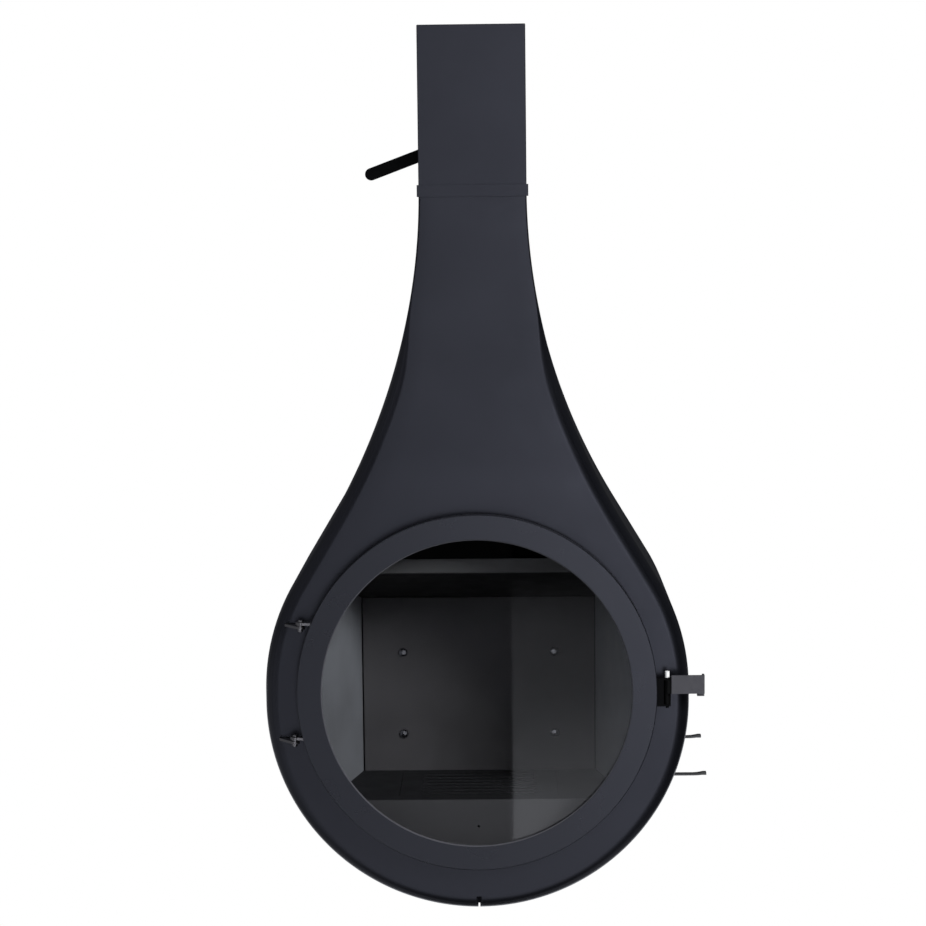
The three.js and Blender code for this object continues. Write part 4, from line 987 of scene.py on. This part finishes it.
# %% Seat
SEAT_FRONT_Y, SEAT_END_Y = FACE_Y - 0.008, -0.1903
seat = lathe("door_seat_skin", rounded([
    (SEAT_RADIUS, SEAT_FRONT_Y), (SEAT_RADIUS + SEAT_WALL, SEAT_FRONT_Y),
    (SEAT_RADIUS + SEAT_WALL, SEAT_END_Y), (SEAT_RADIUS, SEAT_END_Y)], CORNER))
seat.data.materials.append(stove_paint)
show(seat, "fireplace", "stove_paint", "door_seat")
print("seat", round(SEAT_END_Y - SEAT_FRONT_Y, 4), "deep")

# %% [markdown]
# The rope seal is braided. Modelling each yarn would cost millions of faces for a piece that only
# an open door shows. Two families of waves that wind in opposite senses raise the surface where a
# strand crosses on top, and the eye reads a braid.

# %% Braided rope
BRAIDS, STRANDS = 150, 2
ALONG, ROUND_IT = BRAIDS * 8, 16
VALLEY = 0.16
along, round_it = np.meshgrid(np.linspace(0, 2 * np.pi, ALONG, endpoint=False),
                              np.linspace(0, 2 * np.pi, ROUND_IT, endpoint=False), indexing="ij")
over = np.abs(np.sin(BRAIDS / 2 * along + STRANDS * round_it))
under = np.abs(np.sin(BRAIDS / 2 * along - STRANDS * round_it))
thick = ROPE / 2 * (1 - VALLEY + VALLEY * np.maximum(over, under) ** 0.7)
from_axis = SEAT_RADIUS + SEAT_WALL / 2 + thick * np.cos(round_it)
rope_points = np.stack([from_axis * np.cos(along), ROPE_Y + thick * np.sin(round_it),
                        DOOR_Z + from_axis * np.sin(along)], 2)
rope = new_object("door_rope_braid", rope_points.reshape(-1, 3), ring_quads(ALONG, ROUND_IT), 60)
weld(rope)
rope.data.materials.append(rope_fibre)
show(rope, "door", "rope_fibre", "door_rope_seal")
print("rope", round(2 * np.pi * (SEAT_RADIUS + SEAT_WALL / 2), 3), "m long")

# %% [markdown]
# The pane sits behind the ring with a gap all round, so that it can grow when hot. It is a solid
# disc with two faces, since a single sheet would bend light once and never let it out again.

# %% Glass
GLASS_RADIUS, GLASS_FRONT_Y, GLASS_BACK_Y = 0.298, -0.2434, -0.2394
ON_AXIS = 0.00001
glass = lathe("glass_pane", rounded([
    (ON_AXIS, GLASS_FRONT_Y), (GLASS_RADIUS, GLASS_FRONT_Y),
    (GLASS_RADIUS, GLASS_BACK_Y), (ON_AXIS, GLASS_BACK_Y)], 0.0003))
glass.data.materials.append(ceramic_glass)
show(glass, "door", "glass", "door_glass")
print("pane", 2 * GLASS_RADIUS, "across and", round(GLASS_BACK_Y - GLASS_FRONT_Y, 4), "thick")

# %% [markdown]
# ## Edges of the solids that stay
#
# Plates and blocks keep their CAD shape and only get their edges eased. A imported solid's triangles
# are loose, so a Weld comes before the Bevel, which would find no edges otherwise. Weighted normals
# then keep the flats flat.

# %% Eased edges
REPLACED = {n for o in bpy.data.objects for n in o.get("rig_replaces", [])}
EDGE = {"flue_casing": 0.0016, "neck_collar": 0.0010, "latch_handle": 0.0006,
        "damper_lever": 0.0006}
OTHER_EDGE = 0.0003
BEVEL_SEGMENTS, BEVEL_ANGLE = 2, 30


def bevel(solid, width):
    """Joins a solid's loose triangles and rounds its edges, both by modifiers."""
    joined = solid.modifiers.new("joined", "WELD")
    joined.merge_threshold = WELD_DISTANCE
    modifier = solid.modifiers.new("edges", "BEVEL")
    modifier.width = width
    modifier.segments = BEVEL_SEGMENTS
    modifier.limit_method = "ANGLE"
    modifier.angle_limit = np.radians(BEVEL_ANGLE)
    even = solid.modifiers.new("even", "WEIGHTED_NORMAL")
    even.weight = 100
    solid.data.polygons.foreach_set("use_smooth", np.ones(len(solid.data.polygons), bool))


for name, solid in NODES.items():
    if name not in REPLACED:
        bevel(solid, EDGE.get(name, OTHER_EDGE))
print(len(REPLACED), "solids replaced by smooth pieces,", len(NODES) - len(REPLACED), "eased")
